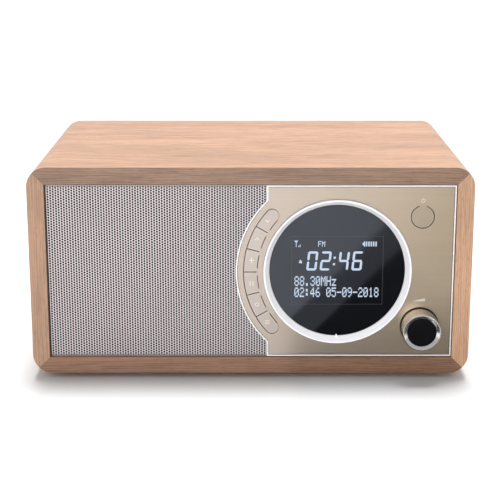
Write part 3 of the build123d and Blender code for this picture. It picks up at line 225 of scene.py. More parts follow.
def timber_group():
    """Open-grained veneer along X: wide figure, fine fibres, short dark pores, and a front lip darkened as
    painted shade.
    """
    group, given, put = start_group("timber_grain", {
        "Light": (0.5, 0.3, 0.2, 1), "Dark": (0.3, 0.2, 0.1, 1), "Figure": 0.5, "Front": -1.0,
        "Lip Painted Shade": 1.0})
    link, reckon = group.links.new, partial(sum_of, group)
    place = given["Vector"]
    warp = cloud(group, stretch(group, place, (11, 75, 75)), 2.0, 0.6)
    ripple = cloud(group, stretch(group, place, (70, 260, 260)), 2.0)
    wavy = reckon("MULTIPLY_ADD", warp, 24.0, reckon("MULTIPLY", ripple, 3.0))
    spots = parts_of(group, place)
    layers = reckon("MULTIPLY_ADD", spots[1], 0.5, spots[2])
    rings = reckon("SINE", reckon("MULTIPLY_ADD", layers, 4300.0, wavy))
    bands = ramp(group, rings, -1.0, 1.0)
    shade = cloud(group, stretch(group, place, (7, 55, 55)), 3.0, 0.6)
    fibres = cloud(group, stretch(group, place, (55, 950, 950)), 3.0, 0.65)
    pores = cloud(group, stretch(group, place, (190, 1900, 1900)), 1.0)
    dashes = ramp(group, pores, 0.60, 0.72)
    amount = reckon("MULTIPLY", bands, given["Figure"])
    amount = reckon("MULTIPLY_ADD", ramp(group, fibres, 0.36, 0.64), 0.55, amount)
    amount = reckon("MULTIPLY_ADD", ramp(group, shade, 0.35, 0.65), 0.38, amount)
    amount = reckon("SUBTRACT", amount, 0.22, clamp=True)
    colour = blend_colours(group, amount, given["Light"], given["Dark"])
    darker = blend_colours(group, reckon("MULTIPLY", dashes, 0.35), colour, (0.10, 0.05, 0.03, 1))
    # painted shade: points in front of Front are darkened by the Lip Painted Shade factor
    lip = reckon("LESS_THAN", spots[1], given["Front"])
    painted_shade = reckon("MULTIPLY_ADD", lip, reckon("SUBTRACT", given["Lip Painted Shade"], 1.0), 1.0)
    link(shaded(group, darker, painted_shade), put["Color"])
    link(reckon("MULTIPLY_ADD", fibres, 0.22, 0.34), put["Roughness"])
    link(reckon("SUBTRACT", reckon("MULTIPLY", fibres, 0.5), dashes), put["Height"])
    return group


def brushed_group():
    """Straight brushing along X, with faint patches and a tint that grows to the right."""
    group, given, put = start_group("brushed_lines", {
        "Base": (0.6, 0.6, 0.6, 1), "Right Tint": (1, 1, 1, 1), "Streaks": 0.12, "Roughness": 0.35})
    link, reckon = group.links.new, partial(sum_of, group)
    fine = cloud(group, stretch(group, given["Vector"], (28, 2600, 2600)), 3.0, 0.7)
    long = cloud(group, stretch(group, given["Vector"], (5, 700, 700)), 2.0, 0.6)
    patch = cloud(group, stretch(group, given["Vector"], (14, 20, 20)), 2.0)
    side = parts_of(group, given["Vector"])[0]
    tint = blend_colours(group, ramp(group, side, 0.005, 0.115), (1, 1, 1, 1), given["Right Tint"])
    base = blend_colours(group, 1.0, given["Base"], tint, "MULTIPLY")
    mixed = reckon("MULTIPLY_ADD", long, 0.6, reckon("MULTIPLY", fine, 0.4))
    offset = reckon("SUBTRACT", mixed, 0.5)
    bright = reckon("MULTIPLY_ADD", offset, given["Streaks"], 1.0)
    bright = reckon("MULTIPLY_ADD", reckon("SUBTRACT", patch, 0.5), 0.05, bright)
    link(shaded(group, base, bright), put["Color"])
    link(reckon("MULTIPLY_ADD", offset, 0.28, given["Roughness"]), put["Roughness"])
    link(fine, put["Height"])
    return group


def turned_group():
    """Fine rings about an axis along Y through the vector's origin, as a lathe leaves."""
    group, given, put = start_group("turned_rings", {
        "Base": (0.6, 0.6, 0.6, 1), "Streaks": 0.08, "Roughness": 0.3})
    link, reckon = group.links.new, partial(sum_of, group)
    parts = parts_of(group, given["Vector"])
    square = reckon("MULTIPLY_ADD", parts[2], parts[2], reckon("MULTIPLY", parts[0], parts[0]))
    radius = reckon("SQRT", square)
    angle = reckon("ARCTAN2", parts[2], parts[0])
    place = stretch(group, vector_of(group, radius, parts[1], angle), (2600.0, 2600.0, 0.8))
    rings = cloud(group, place, 2.0, 0.6)
    broad = cloud(group, stretch(group, given["Vector"], (40, 40, 40)), 2.0)
    offset = reckon("SUBTRACT", rings, 0.5)
    bright = reckon("MULTIPLY_ADD", offset, given["Streaks"], 1.0)
    bright = reckon("MULTIPLY_ADD", reckon("SUBTRACT", broad, 0.5), 0.04, bright)
    link(shaded(group, given["Base"], bright), put["Color"])
    link(reckon("MULTIPLY_ADD", offset, 0.2, given["Roughness"]), put["Roughness"])
    link(rings, put["Height"])
    return group


def moulded_group():
    """Moulded, cast or painted skin: a fine pebble and a slow drift of colour and gloss."""
    group, given, put = start_group("moulded_skin", {
        "Base": (0.1, 0.1, 0.1, 1), "Grain": 900.0, "Drift": 0.15, "Roughness": 0.5, "Uneven": 0.2})
    link, reckon = group.links.new, partial(sum_of, group)
    grain = add(group, "ShaderNodeTexNoise", {
        "Vector": given["Vector"], "Scale": given["Grain"], "Detail": 2.0}).outputs["Fac"]
    drift = cloud(group, stretch(group, given["Vector"], (35, 35, 35)), 3.0)
    offset = reckon("SUBTRACT", drift, 0.5)
    bright = reckon("MULTIPLY_ADD", offset, given["Drift"], 1.0)
    bright = reckon("MULTIPLY_ADD", reckon("SUBTRACT", grain, 0.5), given["Drift"], bright)
    link(shaded(group, given["Base"], bright), put["Color"])
    link(reckon("MULTIPLY_ADD", offset, given["Uneven"], given["Roughness"]), put["Roughness"])
    link(grain, put["Height"])
    return group


def woven_group():
    """Plain weave in X and Z, for the grille cloth and the spider."""
    group, given, put = start_group("plain_weave", {
        "Base": (0.05, 0.05, 0.05, 1), "Threads": 2200.0, "Roughness": 0.9})
    link, reckon = group.links.new, partial(sum_of, group)
    parts = parts_of(group, given["Vector"])
    across = reckon("SINE", reckon("MULTIPLY", parts[0], given["Threads"]))
    upward = reckon("SINE", reckon("MULTIPLY", parts[2], given["Threads"]))
    weave = reckon("MULTIPLY_ADD", reckon("MULTIPLY", across, upward), 0.5, 0.5)
    bright = ramp(group, weave, 0.0, 1.0, 0.6, 1.25)
    link(shaded(group, given["Base"], bright), put["Color"])
    link(reckon("MULTIPLY_ADD", weave, 0.05, given["Roughness"]), put["Roughness"])
    link(weave, put["Height"])
    return group


GROUP_MAKERS = {
    "timber_grain": timber_group, "brushed_lines": brushed_group, "turned_rings": turned_group,
    "moulded_skin": moulded_group, "plain_weave": woven_group,
}


def pattern(name):
    """A pattern's node group, built when it is first asked for."""
    return bpy.data.node_groups.get(name) or GROUP_MAKERS[name]()


def finish(name, effect, values, turn=(0, 0, 0), centre=(0, 0, 0), bump=0.0, bump_depth=0.05, **constants):
    """A material: one pattern group feeds one Principled shader, which holds every constant."""
    name = f"{name}_finish"
    found = bpy.data.materials.get(name)
    if found:
        return found
    material = bpy.data.materials.new(name)
    material.use_nodes = True
    tree = material.node_tree
    tree.nodes.clear()
    output = add(tree, "ShaderNodeOutputMaterial")
    shader = add(tree, "ShaderNodeBsdfPrincipled", constants)
    tree.links.new(shader.outputs[0], output.inputs[0])
    coordinates = add(tree, "ShaderNodeTexCoord").outputs["Object"]
    shift = add(tree, "ShaderNodeMapping", {"Vector": coordinates, "Location": [-c for c in centre]})
    turned = add(tree, "ShaderNodeMapping", {"Vector": shift, "Rotation": turn})
    group = add(tree, "ShaderNodeGroup", node_tree=pattern(effect))
    tree.links.new(turned.outputs[0], group.inputs["Vector"])
    for key, value in values.items():
        group.inputs[key].default_value = (*value, 1) if isinstance(value, tuple) else value
    tree.links.new(group.outputs["Color"], shader.inputs["Base Color"])
    tree.links.new(group.outputs["Roughness"], shader.inputs["Roughness"])
    if bump:
        relief = add(
            tree, "ShaderNodeBump",
            {"Height": group.outputs["Height"], "Strength": bump, "Distance": bump_depth * MM})
        tree.links.new(relief.outputs[0], shader.inputs["Normal"])
    return material


def moulded(name, colour, roughness=0.5, grain=900.0, drift=0.15, bump=0.3, bump_depth=0.03, uneven=0.2,
            **constants):
    """A material with the moulded skin."""
    values = {"Base": colour, "Roughness": roughness, "Grain": grain, "Drift": drift, "Uneven": uneven}
    return finish(name, "moulded_skin", values, bump=bump, bump_depth=bump_depth, **constants)


def turned(name, colour, roughness, centre, streaks=0.08, **settings):
    """A metal turned about an axis along Y through a centre."""
    values = {"Base": colour, "Streaks": streaks, "Roughness": roughness}
    return finish(name, "turned_rings", values, centre=centre, **{"Metallic": 1.0, **settings})


def dress(material, *nodes):
    """Gives CAD nodes their material."""
    for name in nodes:
        data = NODES[name].data
        data.materials.clear()
        data.materials.append(material)


# ---------------------------------------------------------------- mesh helpers
def mesh_object(name, bm, material):
    """Turns a bmesh into an object with one material."""
    data = bpy.data.meshes.new(name)
    bm.to_mesh(data)
    bm.free()
    data.materials.append(material)
    made = bpy.data.objects.new(name, data)
    bpy.context.scene.collection.objects.link(made)
    return made


def make_piece(name, bm, material, body):
    """Turns a bmesh into a finished piece that rides on a body."""
    bmesh.ops.recalc_face_normals(bm, faces=bm.faces)
    piece = mesh_object(name, bm, material)
    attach(piece, body)
    return piece


def prism(bm, outline, front, back):
    """A closed plate with an outline of (x, z) points in metres, between two depths in millimetres."""
    near = [bm.verts.new((x, depth(front), z)) for x, z in outline]
    far = [bm.verts.new((x, depth(back), z)) for x, z in outline]
    count = len(outline)
    bm.faces.new(near)
    bm.faces.new(far[::-1])
    for i in range(count):
        j = (i + 1) % count
        bm.faces.new((near[i], far[i], far[j], near[j]))


def flat(bm, outline, depths):
    """A plate like the last, with its outline in millimetres too."""
    prism(bm, [(x * MM, z * MM) for x, z in outline], *depths)


def bar(bm, x, z, width, height, front, back, slant=0.0):
    """A small upright plate centred on x and z, all in millimetres; slant leans its top to the right."""
    w, h = width / 2 * MM, height / 2 * MM
    points = [(-w, -h), (w, -h), (w, h), (-w, h)]
    prism(bm, [(x * MM + a + slant * b, z * MM + b) for a, b in points], front, back)


def band(bm, x, z, inner, outer, start, end, front, back, steps=16):
    """A closed piece of a flat ring, in millimetres and degrees."""
    angles = [radians(start + (end - start) * i / steps) for i in range(steps + 1)]
    out = [((x + outer * cos(a)) * MM, (z + outer * sin(a)) * MM) for a in angles]
    back_in = [((x + inner * cos(a)) * MM, (z + inner * sin(a)) * MM) for a in reversed(angles)]
    prism(bm, out + back_in, front, back)


# ---------------------------------------------------------------- geometry node trees
def start_geometry(name, inputs):
    """An empty geometry tree with its named inputs, and its two end nodes."""
    tree = bpy.data.node_groups.new(name, "GeometryNodeTree")
    for label, kind, value in inputs:
        socket = tree.interface.new_socket(label, in_out="INPUT", socket_type=kind)
        if value is not None:
            socket.default_value = value
    tree.interface.new_socket("Geometry", in_out="OUTPUT", socket_type="NodeSocketGeometry")
    return tree, tree.nodes.new("NodeGroupInput").outputs, tree.nodes.new("NodeGroupOutput").inputs


def grow(name, tree, values, body):
    """Runs a geometry tree once and keeps its result as a plain mesh that rides on a body."""
    holder = bpy.data.objects.new(name + "_source", bpy.data.meshes.new(name + "_source"))
    bpy.context.scene.collection.objects.link(holder)
    modifier = holder.modifiers.new("grow", "NODES")
    modifier.node_group = tree
    sockets = {item.name: item.identifier for item in tree.interface.items_tree if item.in_out == "INPUT"}
    for label, value in values.items():
        modifier[sockets[label]] = value
    holder.update_tag()
    graph = bpy.context.evaluated_depsgraph_get()
    data = bpy.data.meshes.new_from_object(
        holder.evaluated_get(graph), preserve_all_data_layers=True, depsgraph=graph)
    bpy.data.objects.remove(holder)
    if not data.polygons:
        raise RuntimeError(f"{name} came out empty")
    data.name = name
    piece = bpy.data.objects.new(name, data)
    bpy.context.scene.collection.objects.link(piece)
    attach(piece, body)
    return piece


def paint(tree, made, given, put):
    """The last node of a tree: it gives the mesh its material."""
    painted = add(tree, "GeometryNodeSetMaterial", {"Geometry": made, "Material": given["Material"]})
    tree.links.new(painted.outputs[0], put["Geometry"])


def position(tree):
    """The X, Y and Z of each point."""
    place = tree.nodes.new("GeometryNodeInputPosition").outputs[0]
    return parts_of(tree, place)


def perforation_tree():
    """A sheet of staggered holes: six-sided rings that meet, without those outside the outline."""
    number = "NodeSocketFloat"
    tree, given, put = start_geometry("perforated_sheet", (
        ("Pitch", number, 1.6 * MM), ("Hole", number, 0.96 * MM), ("Columns", "NodeSocketInt", 10),
        ("Rows", "NodeSocketInt", 10), ("Left", number, 0.0), ("Bottom", number, 0.0), ("Low X", number, 0.0),
        ("High X", number, 0.0), ("Low Z", number, 0.0), ("High Z", number, 0.0), ("Dial X", number, 0.0),
        ("Dial Z", number, 0.0), ("Dial Radius", number, 0.06), ("Front", number, 0.0),
        ("Thickness", number, 0.35 * MM), ("Material", "NodeSocketMaterial", None)))

    reckon = partial(sum_of, tree)

    # one cell, flat in X and Y: its outer corners stand 3/8 and 5/8 of a pitch from its middle
    radius = reckon("MULTIPLY", given["Hole"], 0.5)
    disk = add(tree, "GeometryNodeMeshCircle", {"Vertices": 6, "Radius": radius}, fill_type="NGON")
    raised = add(tree, "GeometryNodeExtrudeMesh", {"Mesh": disk, "Offset Scale": 0.0}, mode="FACES")
    hollow = add(tree, "GeometryNodeDeleteGeometry", {
        "Geometry": raised.outputs["Mesh"], "Selection": raised.outputs["Top"]}, domain="FACE")
    spot = position(tree)
    reach = reckon("MULTIPLY_ADD", reckon("DIVIDE", reckon("ABSOLUTE", spot[0]), radius), 0.5, 0.125)
    outer_x = reckon("MULTIPLY", reckon("SIGN", spot[0]), reckon("MULTIPLY", reach, given["Pitch"]))
    side = reckon("MULTIPLY", given["Pitch"], tan(radians(30)))
    outer_y = reckon("MULTIPLY", reckon("DIVIDE", spot[1], radius), side)
    wide = vector_of(tree, outer_x, outer_y, 0.0)
    index = tree.nodes.new("GeometryNodeInputIndex").outputs[0]
    rim = add(tree, "FunctionNodeCompare", {0: index, 1: 5.5}, data_type="FLOAT", operation="LESS_THAN")
    cell = add(tree, "GeometryNodeSetPosition", {
        "Geometry": hollow, "Selection": rim, "Position": wide})
    upright = add(tree, "GeometryNodeTransform", {"Geometry": cell, "Rotation": (pi / 2, 0, 0)})

    # the staggered places of the cells
    grid = add(tree, "GeometryNodeMeshGrid", {"Vertices X": given["Columns"], "Vertices Y": given["Rows"]})
    column = reckon("FLOOR", reckon("DIVIDE", reckon("ADD", index, 0.5), given["Rows"]))
    row = reckon("SUBTRACT", index, reckon("MULTIPLY", column, given["Rows"]))
    shifted = reckon("MULTIPLY_ADD", reckon("MODULO", column, 2.0), 0.5, row)
    x = reckon("MULTIPLY_ADD", column, given["Pitch"], given["Left"])
    z = reckon("MULTIPLY_ADD", shifted, given["Pitch"], given["Bottom"])
    places = vector_of(tree, x, given["Front"], z)
    points = add(tree, "GeometryNodeSetPosition", {"Geometry": grid, "Position": places})
    here = position(tree)
    from_dial = reckon("SQRT", reckon(
        "ADD", reckon("POWER", reckon("SUBTRACT", here[0], given["Dial X"]), 2.0),
        reckon("POWER", reckon("SUBTRACT", here[2], given["Dial Z"]), 2.0)))
    outside = reckon("LESS_THAN", from_dial, given["Dial Radius"])
    for along, low, high in ((here[0], "Low X", "High X"), (here[2], "Low Z", "High Z")):
        outside = reckon("ADD", outside, reckon("LESS_THAN", along, given[low]))
        outside = reckon("ADD", outside, reckon("GREATER_THAN", along, given[high]))
    drop = add(tree, "FunctionNodeCompare", {0: outside, 1: 0.5}, data_type="FLOAT", operation="GREATER_THAN")
    kept = add(tree, "GeometryNodeDeleteGeometry", {
        "Geometry": points, "Selection": drop}, domain="POINT")

    # one flat sheet, then its thickness
    cells = add(tree, "GeometryNodeInstanceOnPoints", {
        "Points": kept, "Instance": upright})
    real = add(tree, "GeometryNodeRealizeInstances", {"Geometry": cells})
    joined = add(tree, "GeometryNodeMergeByDistance", {"Geometry": real, "Distance": 0.03 * MM})
    back = vector_of(tree, 0.0, given["Thickness"], 0.0)
    thick = add(tree, "GeometryNodeExtrudeMesh", {
        "Mesh": joined, "Offset": back, "Individual": False}, mode="FACES")
    lid = add(tree, "GeometryNodeFlipFaces", {"Mesh": joined})
    both = tree.nodes.new("GeometryNodeJoinGeometry")
    tree.links.new(thick.outputs["Mesh"], both.inputs[0])
    tree.links.new(lid.outputs[0], both.inputs[0])
    closed = add(tree, "GeometryNodeMergeByDistance", {"Geometry": both, "Distance": 0.01 * MM})
    paint(tree, closed, given, put)
    return tree


def ridge_tree():
    """Small ridges round a circle about an axis along Y."""
    number = "NodeSocketFloat"
    tree, given, put = start_geometry("round_ridges", (
        ("Count", "NodeSocketInt", 120), ("Radius", number, 0.045), ("Height", number, 0.2 * MM),
        ("Length", number, 1.5 * MM), ("Width", number, 0.5 * MM), ("Centre", "NodeSocketVector", (0, 0, 0)),
        ("Material", "NodeSocketMaterial", None)))
    ring = add(tree, "GeometryNodeMeshCircle", {"Vertices": given["Count"], "Radius": given["Radius"]},
               fill_type="NONE")
    ridge = add(tree, "GeometryNodeMeshCylinder", {
        "Vertices": 3, "Radius": given["Height"], "Depth": given["Length"]}, fill_type="NGON")
    broad = sum_of(tree, "DIVIDE", given["Width"], sum_of(tree, "MULTIPLY", given["Height"], 1.732))
    size = vector_of(tree, 1.0, broad, 1.0)
    flatter = add(tree, "GeometryNodeTransform", {"Geometry": ridge, "Scale": size})
    place = tree.nodes.new("GeometryNodeInputPosition").outputs[0]
    aim = add(tree, "FunctionNodeAlignRotationToVector", {"Vector": place}, axis="X", pivot_axis="Z")
    many = add(tree, "GeometryNodeInstanceOnPoints", {
        "Points": ring, "Instance": flatter, "Rotation": aim})
    stood = add(tree, "GeometryNodeTransform", {
        "Geometry": many, "Rotation": (pi / 2, 0, 0), "Translation": given["Centre"]})
    real = add(tree, "GeometryNodeRealizeInstances", {"Geometry": stood})
    paint(tree, real, given, put)
    return tree


# ---------------------------------------------------------------- finishes used in several places
def screw_metal():
    return turned("zinc_plate", (0.62, 0.62, 0.6), 0.34, (0, 0, 0), bump=0.1)


def black_plastic():
    return moulded("black_moulding", (0.022, 0.022, 0.024), 0.55, 1100.0, 0.25, 0.35)


def print_paint():
    return moulded("pale_print", (0.66, 0.63, 0.59), 0.5, 1500.0, 0.1, 0.1)


# ---------------------------------------------------------------- operators
class RADIO_OT_timber(bpy.types.Operator):
    """Veneers the four cabinet boards and the corner blocks"""
    bl_idname = "radio.timber"
    bl_label = "Cabinet timber"

    def execute(self, context):
        wood = context.scene.radio_timber
        constants = {"Coat Weight": 0.4, "Coat Roughness": 0.26, "IOR": 1.46}
        lying, upright = (0, 0, 0), (0, pi / 2, 0)
        # Three colour pairs of one oak, paler or darker by how the light falls on each board: painted light
        # and shade.
        tops = (wood.lying_light, wood.lying_dark, lying)
        bases = (wood.base_light, wood.base_dark, lying)
        sides = (wood.standing_light, wood.standing_dark, upright)
        # The last column is painted shade on each board's front lip, set board by board to how much light
        # falls on that edge.
        boards = (
            ("cabinet_top", "oak_top", tops, (0.31, 0.02, 0.0), 0.46),
            ("cabinet_bottom", "oak_base", bases, (-0.12, 0.4, 0.3), 0.57),
            ("cabinet_left", "oak_left", sides, (0.2, 0.1, 0.2), 0.60),
            ("cabinet_right", "oak_right", sides, (0.5, 0.3, 0), 0.81),
        )
        for node, name, (light, dark, turn), centre, lip in boards:
            values = {
                "Light": tuple(light), "Dark": tuple(dark), "Figure": wood.figure, "Lip Painted Shade": lip,
                "Front": depth(0.5) - centre[1]}
            dress(finish(name, "timber_grain", values, turn, centre, 0.25, 0.12, **constants), node)
        raw = {"Light": (0.6, 0.47, 0.32), "Dark": (0.45, 0.33, 0.2), "Figure": 0.4}
        dress(finish("raw_block", "timber_grain", raw, (0, 0, pi / 2), bump=0.3, bump_depth=0.1),
              "corner_blocks")
        dress(moulded("foot_rubber", (0.02, 0.02, 0.02), 0.8, 1400.0, 0.3, 0.4), "rubber_feet")
        dress(screw_metal(), "wood_screws", "panel_screws")
        return {"FINISHED"}


class RADIO_OT_grille(bpy.types.Operator):
    """Makes the perforated grille, its plain edge and the cloth behind it"""
    bl_idname = "radio.grille"
    bl_label = "Grille"

    def execute(self, context):
        wish = context.scene.radio_grille
        low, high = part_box("speaker_grille")
        low.x += 0.7 * MM  # clear of the rounded side edge
        high.z -= 0.35 * MM
        metal = moulded("grille_paint", (0.67, 0.62, 0.632), 0.38, 1300.0, 0.06, 0.12, 0.02, Metallic=0.35)
        pitch, margin = wish.pitch, wish.margin
        bulge = 62.1 * MM  # radius of the notch beside the dial
        past_edge = 1.8 * MM
        columns = int((high.x - low.x) / pitch) + 1
        rows = int((high.z - low.z) / pitch) + 1
        wide = (columns - 1) * pitch
        tall = (rows - 0.5) * pitch
        values = {
            "Pitch": pitch, "Hole": wish.hole, "Columns": columns, "Rows": rows,
            "Left": low.x + 0.9 * MM, "Bottom": (low.z + high.z - tall) / 2,
            "Low X": low.x, "High X": min(low.x + margin + wide, high.x - past_edge),
            "Low Z": low.z + margin, "High Z": high.z - margin, "Dial X": DIAL.x, "Dial Z": DIAL.z,
            "Dial Radius": bulge - 1.6 * MM, "Front": low.y, "Thickness": 0.28 * MM, "Material": metal}
        sheet = grow("grille_sheet", perforation_tree(), values, "radio")
        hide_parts("speaker_grille")
        edge = bmesh.new()
        front, back = 1.96, 2.6
        rim = margin / MM
        left, right = low.x / MM, high.x / MM
        bottom, top = low.z / MM, high.z / MM
        bar(edge, left + rim / 2, (bottom + top) / 2, rim, top - bottom, front, back)
        for z in (bottom + rim / 2, top - rim / 2):
            bar(edge, (left + rim + right) / 2, z, right - left - rim, rim, front, back)
        make_piece("grille_edge", edge, metal, "radio")
        cloth = {"Base": (0.010, 0.009, 0.010), "Threads": 4200.0}
        dress(finish("black_cloth", "plain_weave", cloth, bump=0.4, bump_depth=0.05), "grille_cloth")
        return {"FINISHED"}


class RADIO_OT_fascia(bpy.types.Operator):
    """Brushes the control panel, its bright trim and the keys, and prints plain symbols on them"""
    bl_idname = "radio.fascia"
    bl_label = "Control panel"

    def execute(self, context):
        champagne = {
            "Base": (0.405, 0.345, 0.297), "Right Tint": (1.0, 0.95, 0.80),
            "Streaks": 0.16, "Roughness": 0.38}
        brushed = {"bump": 0.12, "bump_depth": 0.01, "Metallic": 0.85}
        panel = finish("champagne_brushed", "brushed_lines", champagne, **brushed)
        dress(panel, "fascia_plate")
        keys = {
            "Base": (0.40, 0.35, 0.315), "Right Tint": (0.92, 0.86, 0.70),
            "Streaks": 0.14, "Roughness": 0.36}
        key = finish("key_brushed", "brushed_lines", keys, centre=(0, 0, 0.004), **brushed)
        dress(key, *KEYS, "power_key")
        bright = {"Base": (0.97, 0.96, 0.96), "Streaks": 0.03, "Roughness": 0.25}
        dress(finish("bright_edge", "brushed_lines", bright, Metallic=0.2), "fascia_trim")
        dress(black_plastic(), "front_baffle")
        self.print_symbols()
        self.webs(panel)
        return {"FINISHED"}

    def webs(self, metal):
        """Skin over the thin webs that the keys swing on, where their slots stop short."""
        webs = bmesh.new()
        skin = (0.97, 1.03)
        step, half = 15, 2.7  # degrees from key to key, and half the width of a web
        x, z = DIAL.x / MM, DIAL.z / MM
        for i in range(-2, 3):
            middle_turn = 180 + i * step
            band(webs, x, z, 48.9, 49.36, middle_turn - half, middle_turn + half, *skin, 6)
        band(webs, POWER.x / MM, POWER.z / MM, 6.75, 7.4, 72, 108, *skin, 10)
        make_piece("key_webs", webs, metal, "radio")

    def print_symbols(self):
        """Plain raised symbols: one on each key, and two on the panel, for the power key and the knob."""
        ink = print_paint()
        for number, name in enumerate(KEYS, 1):
            place = middle(name) / MM
            x, z = place.x - 0.1, place.z
            marks = bmesh.new()
            if number == 1:
                for i in (-1, 0, 1):
                    bar(marks, x, z + i * 1.1, 3.0, 0.42, *PRINT)
            elif number == 2:
                band(marks, x, z, 0.85, 1.3, 60, 400, *PRINT)
            elif number == 3:
                for i in (-1, 1):
                    bar(marks, x + i * 0.9, z, 0.5, 3.0, *PRINT)
            elif number == 4:
                bar(marks, x, z, 3.0, 0.45, *PRINT)
                for i in (1, -1):
                    bar(marks, x, z + i * 1.0, 0.45, 1.5, *PRINT)
            else:
                way = 1 if number == 5 else -1
                wide, tip, end = way * 0.32, z + way * 1.0, z - way * 0.6
                for wing in (x - 1.3, x + 1.3):
                    outline = ((x, tip), (wing, end + wide), (wing, end - wide), (x, tip - 2 * wide))
                    flat(marks, outline, PRINT)
            make_piece(f"key_mark_{number}", marks, ink, f"key_{number}")
        marks = bmesh.new()
        x, z = POWER.x / MM, POWER.z / MM + 10.2
        band(marks, x, z, 0.95, 1.25, 120, 420, *PRINT)
        bar(marks, x, z + 0.8, 0.3, 1.4, *PRINT)
        x, z = KNOB.x / MM - 1.0, KNOB.z / MM + 16.8
        flat(marks, ((x - 4, z - 1), (x + 4, z - 1), (x + 4, z + 1)), PRINT)
        make_piece("panel_marks", marks, ink, "radio")


class RADIO_OT_dial(bpy.types.Operator):
    """Turns the silver dial ring, with grip ridges round it, and finishes its gears"""
    bl_idname = "radio.dial"
    bl_label = "Dial"

    def execute(self, context):
        wish = context.scene.radio_dial
        silver = turned("satin_silver", (0.80, 0.79, 0.81), 0.34, (DIAL.x, 0, DIAL.z), 0.04,
                        bump=0.1, bump_depth=0.01, Metallic=0.05)
        dress(silver, "dial_ring")
        values = {
            "Count": wish.ridges, "Radius": 45.2 * MM, "Height": wish.ridge_height, "Length": 1.5 * MM,
            "Width": 0.6 * MM, "Centre": Vector((DIAL.x, depth(0.2), DIAL.z)), "Material": silver}
        grow("dial_ridges", ridge_tree(), values, "dial")
        gears = moulded("gear_acetal", (0.78, 0.77, 0.72), 0.45, 900.0, 0.08, 0.15)
        dress(gears, "dial_gear", "dial_pinion")
        return {"FINISHED"}


DOTS = {  # five by seven characters, row by row from the top
    "0": "01110 10001 10011 10101 11001 10001 01110", "1": "00100 01100 00100 00100 00100 00100 01110",
    "2": "01110 10001 00001 00110 01000 10000 11111", "3": "01110 10001 00001 00110 00001 10001 01110",
    "4": "00010 00110 01010 10010 11111 00010 00010", "5": "11111 10000 11110 00001 00001 10001 01110",
    "6": "00110 01000 10000 11110 10001 10001 01110", "8": "01110 10001 10001 01110 10001 10001 01110",
    "9": "01110 10001 10001 01111 00001 00010 01100", ".": "00000 00000 00000 00000 00000 01100 01100",
    ":": "00000 01100 01100 00000 01100 01100 00000", "-": "00000 00000 00000 11111 00000 00000 00000",
    "M": "10001 11011 10101 10101 10001 10001 10001", "H": "10001 10001 10001 11111 10001 10001 10001",
    "z": "00000 00000 11111 00010 00100 01000 11111", "F": "11111 10000 10000 11110 10000 10000 10000",
}
SEGMENTS = {"0": "abcdef", "2": "abdeg", "4": "bcfg", "6": "acdefg"}  # the lit pieces of each large digit


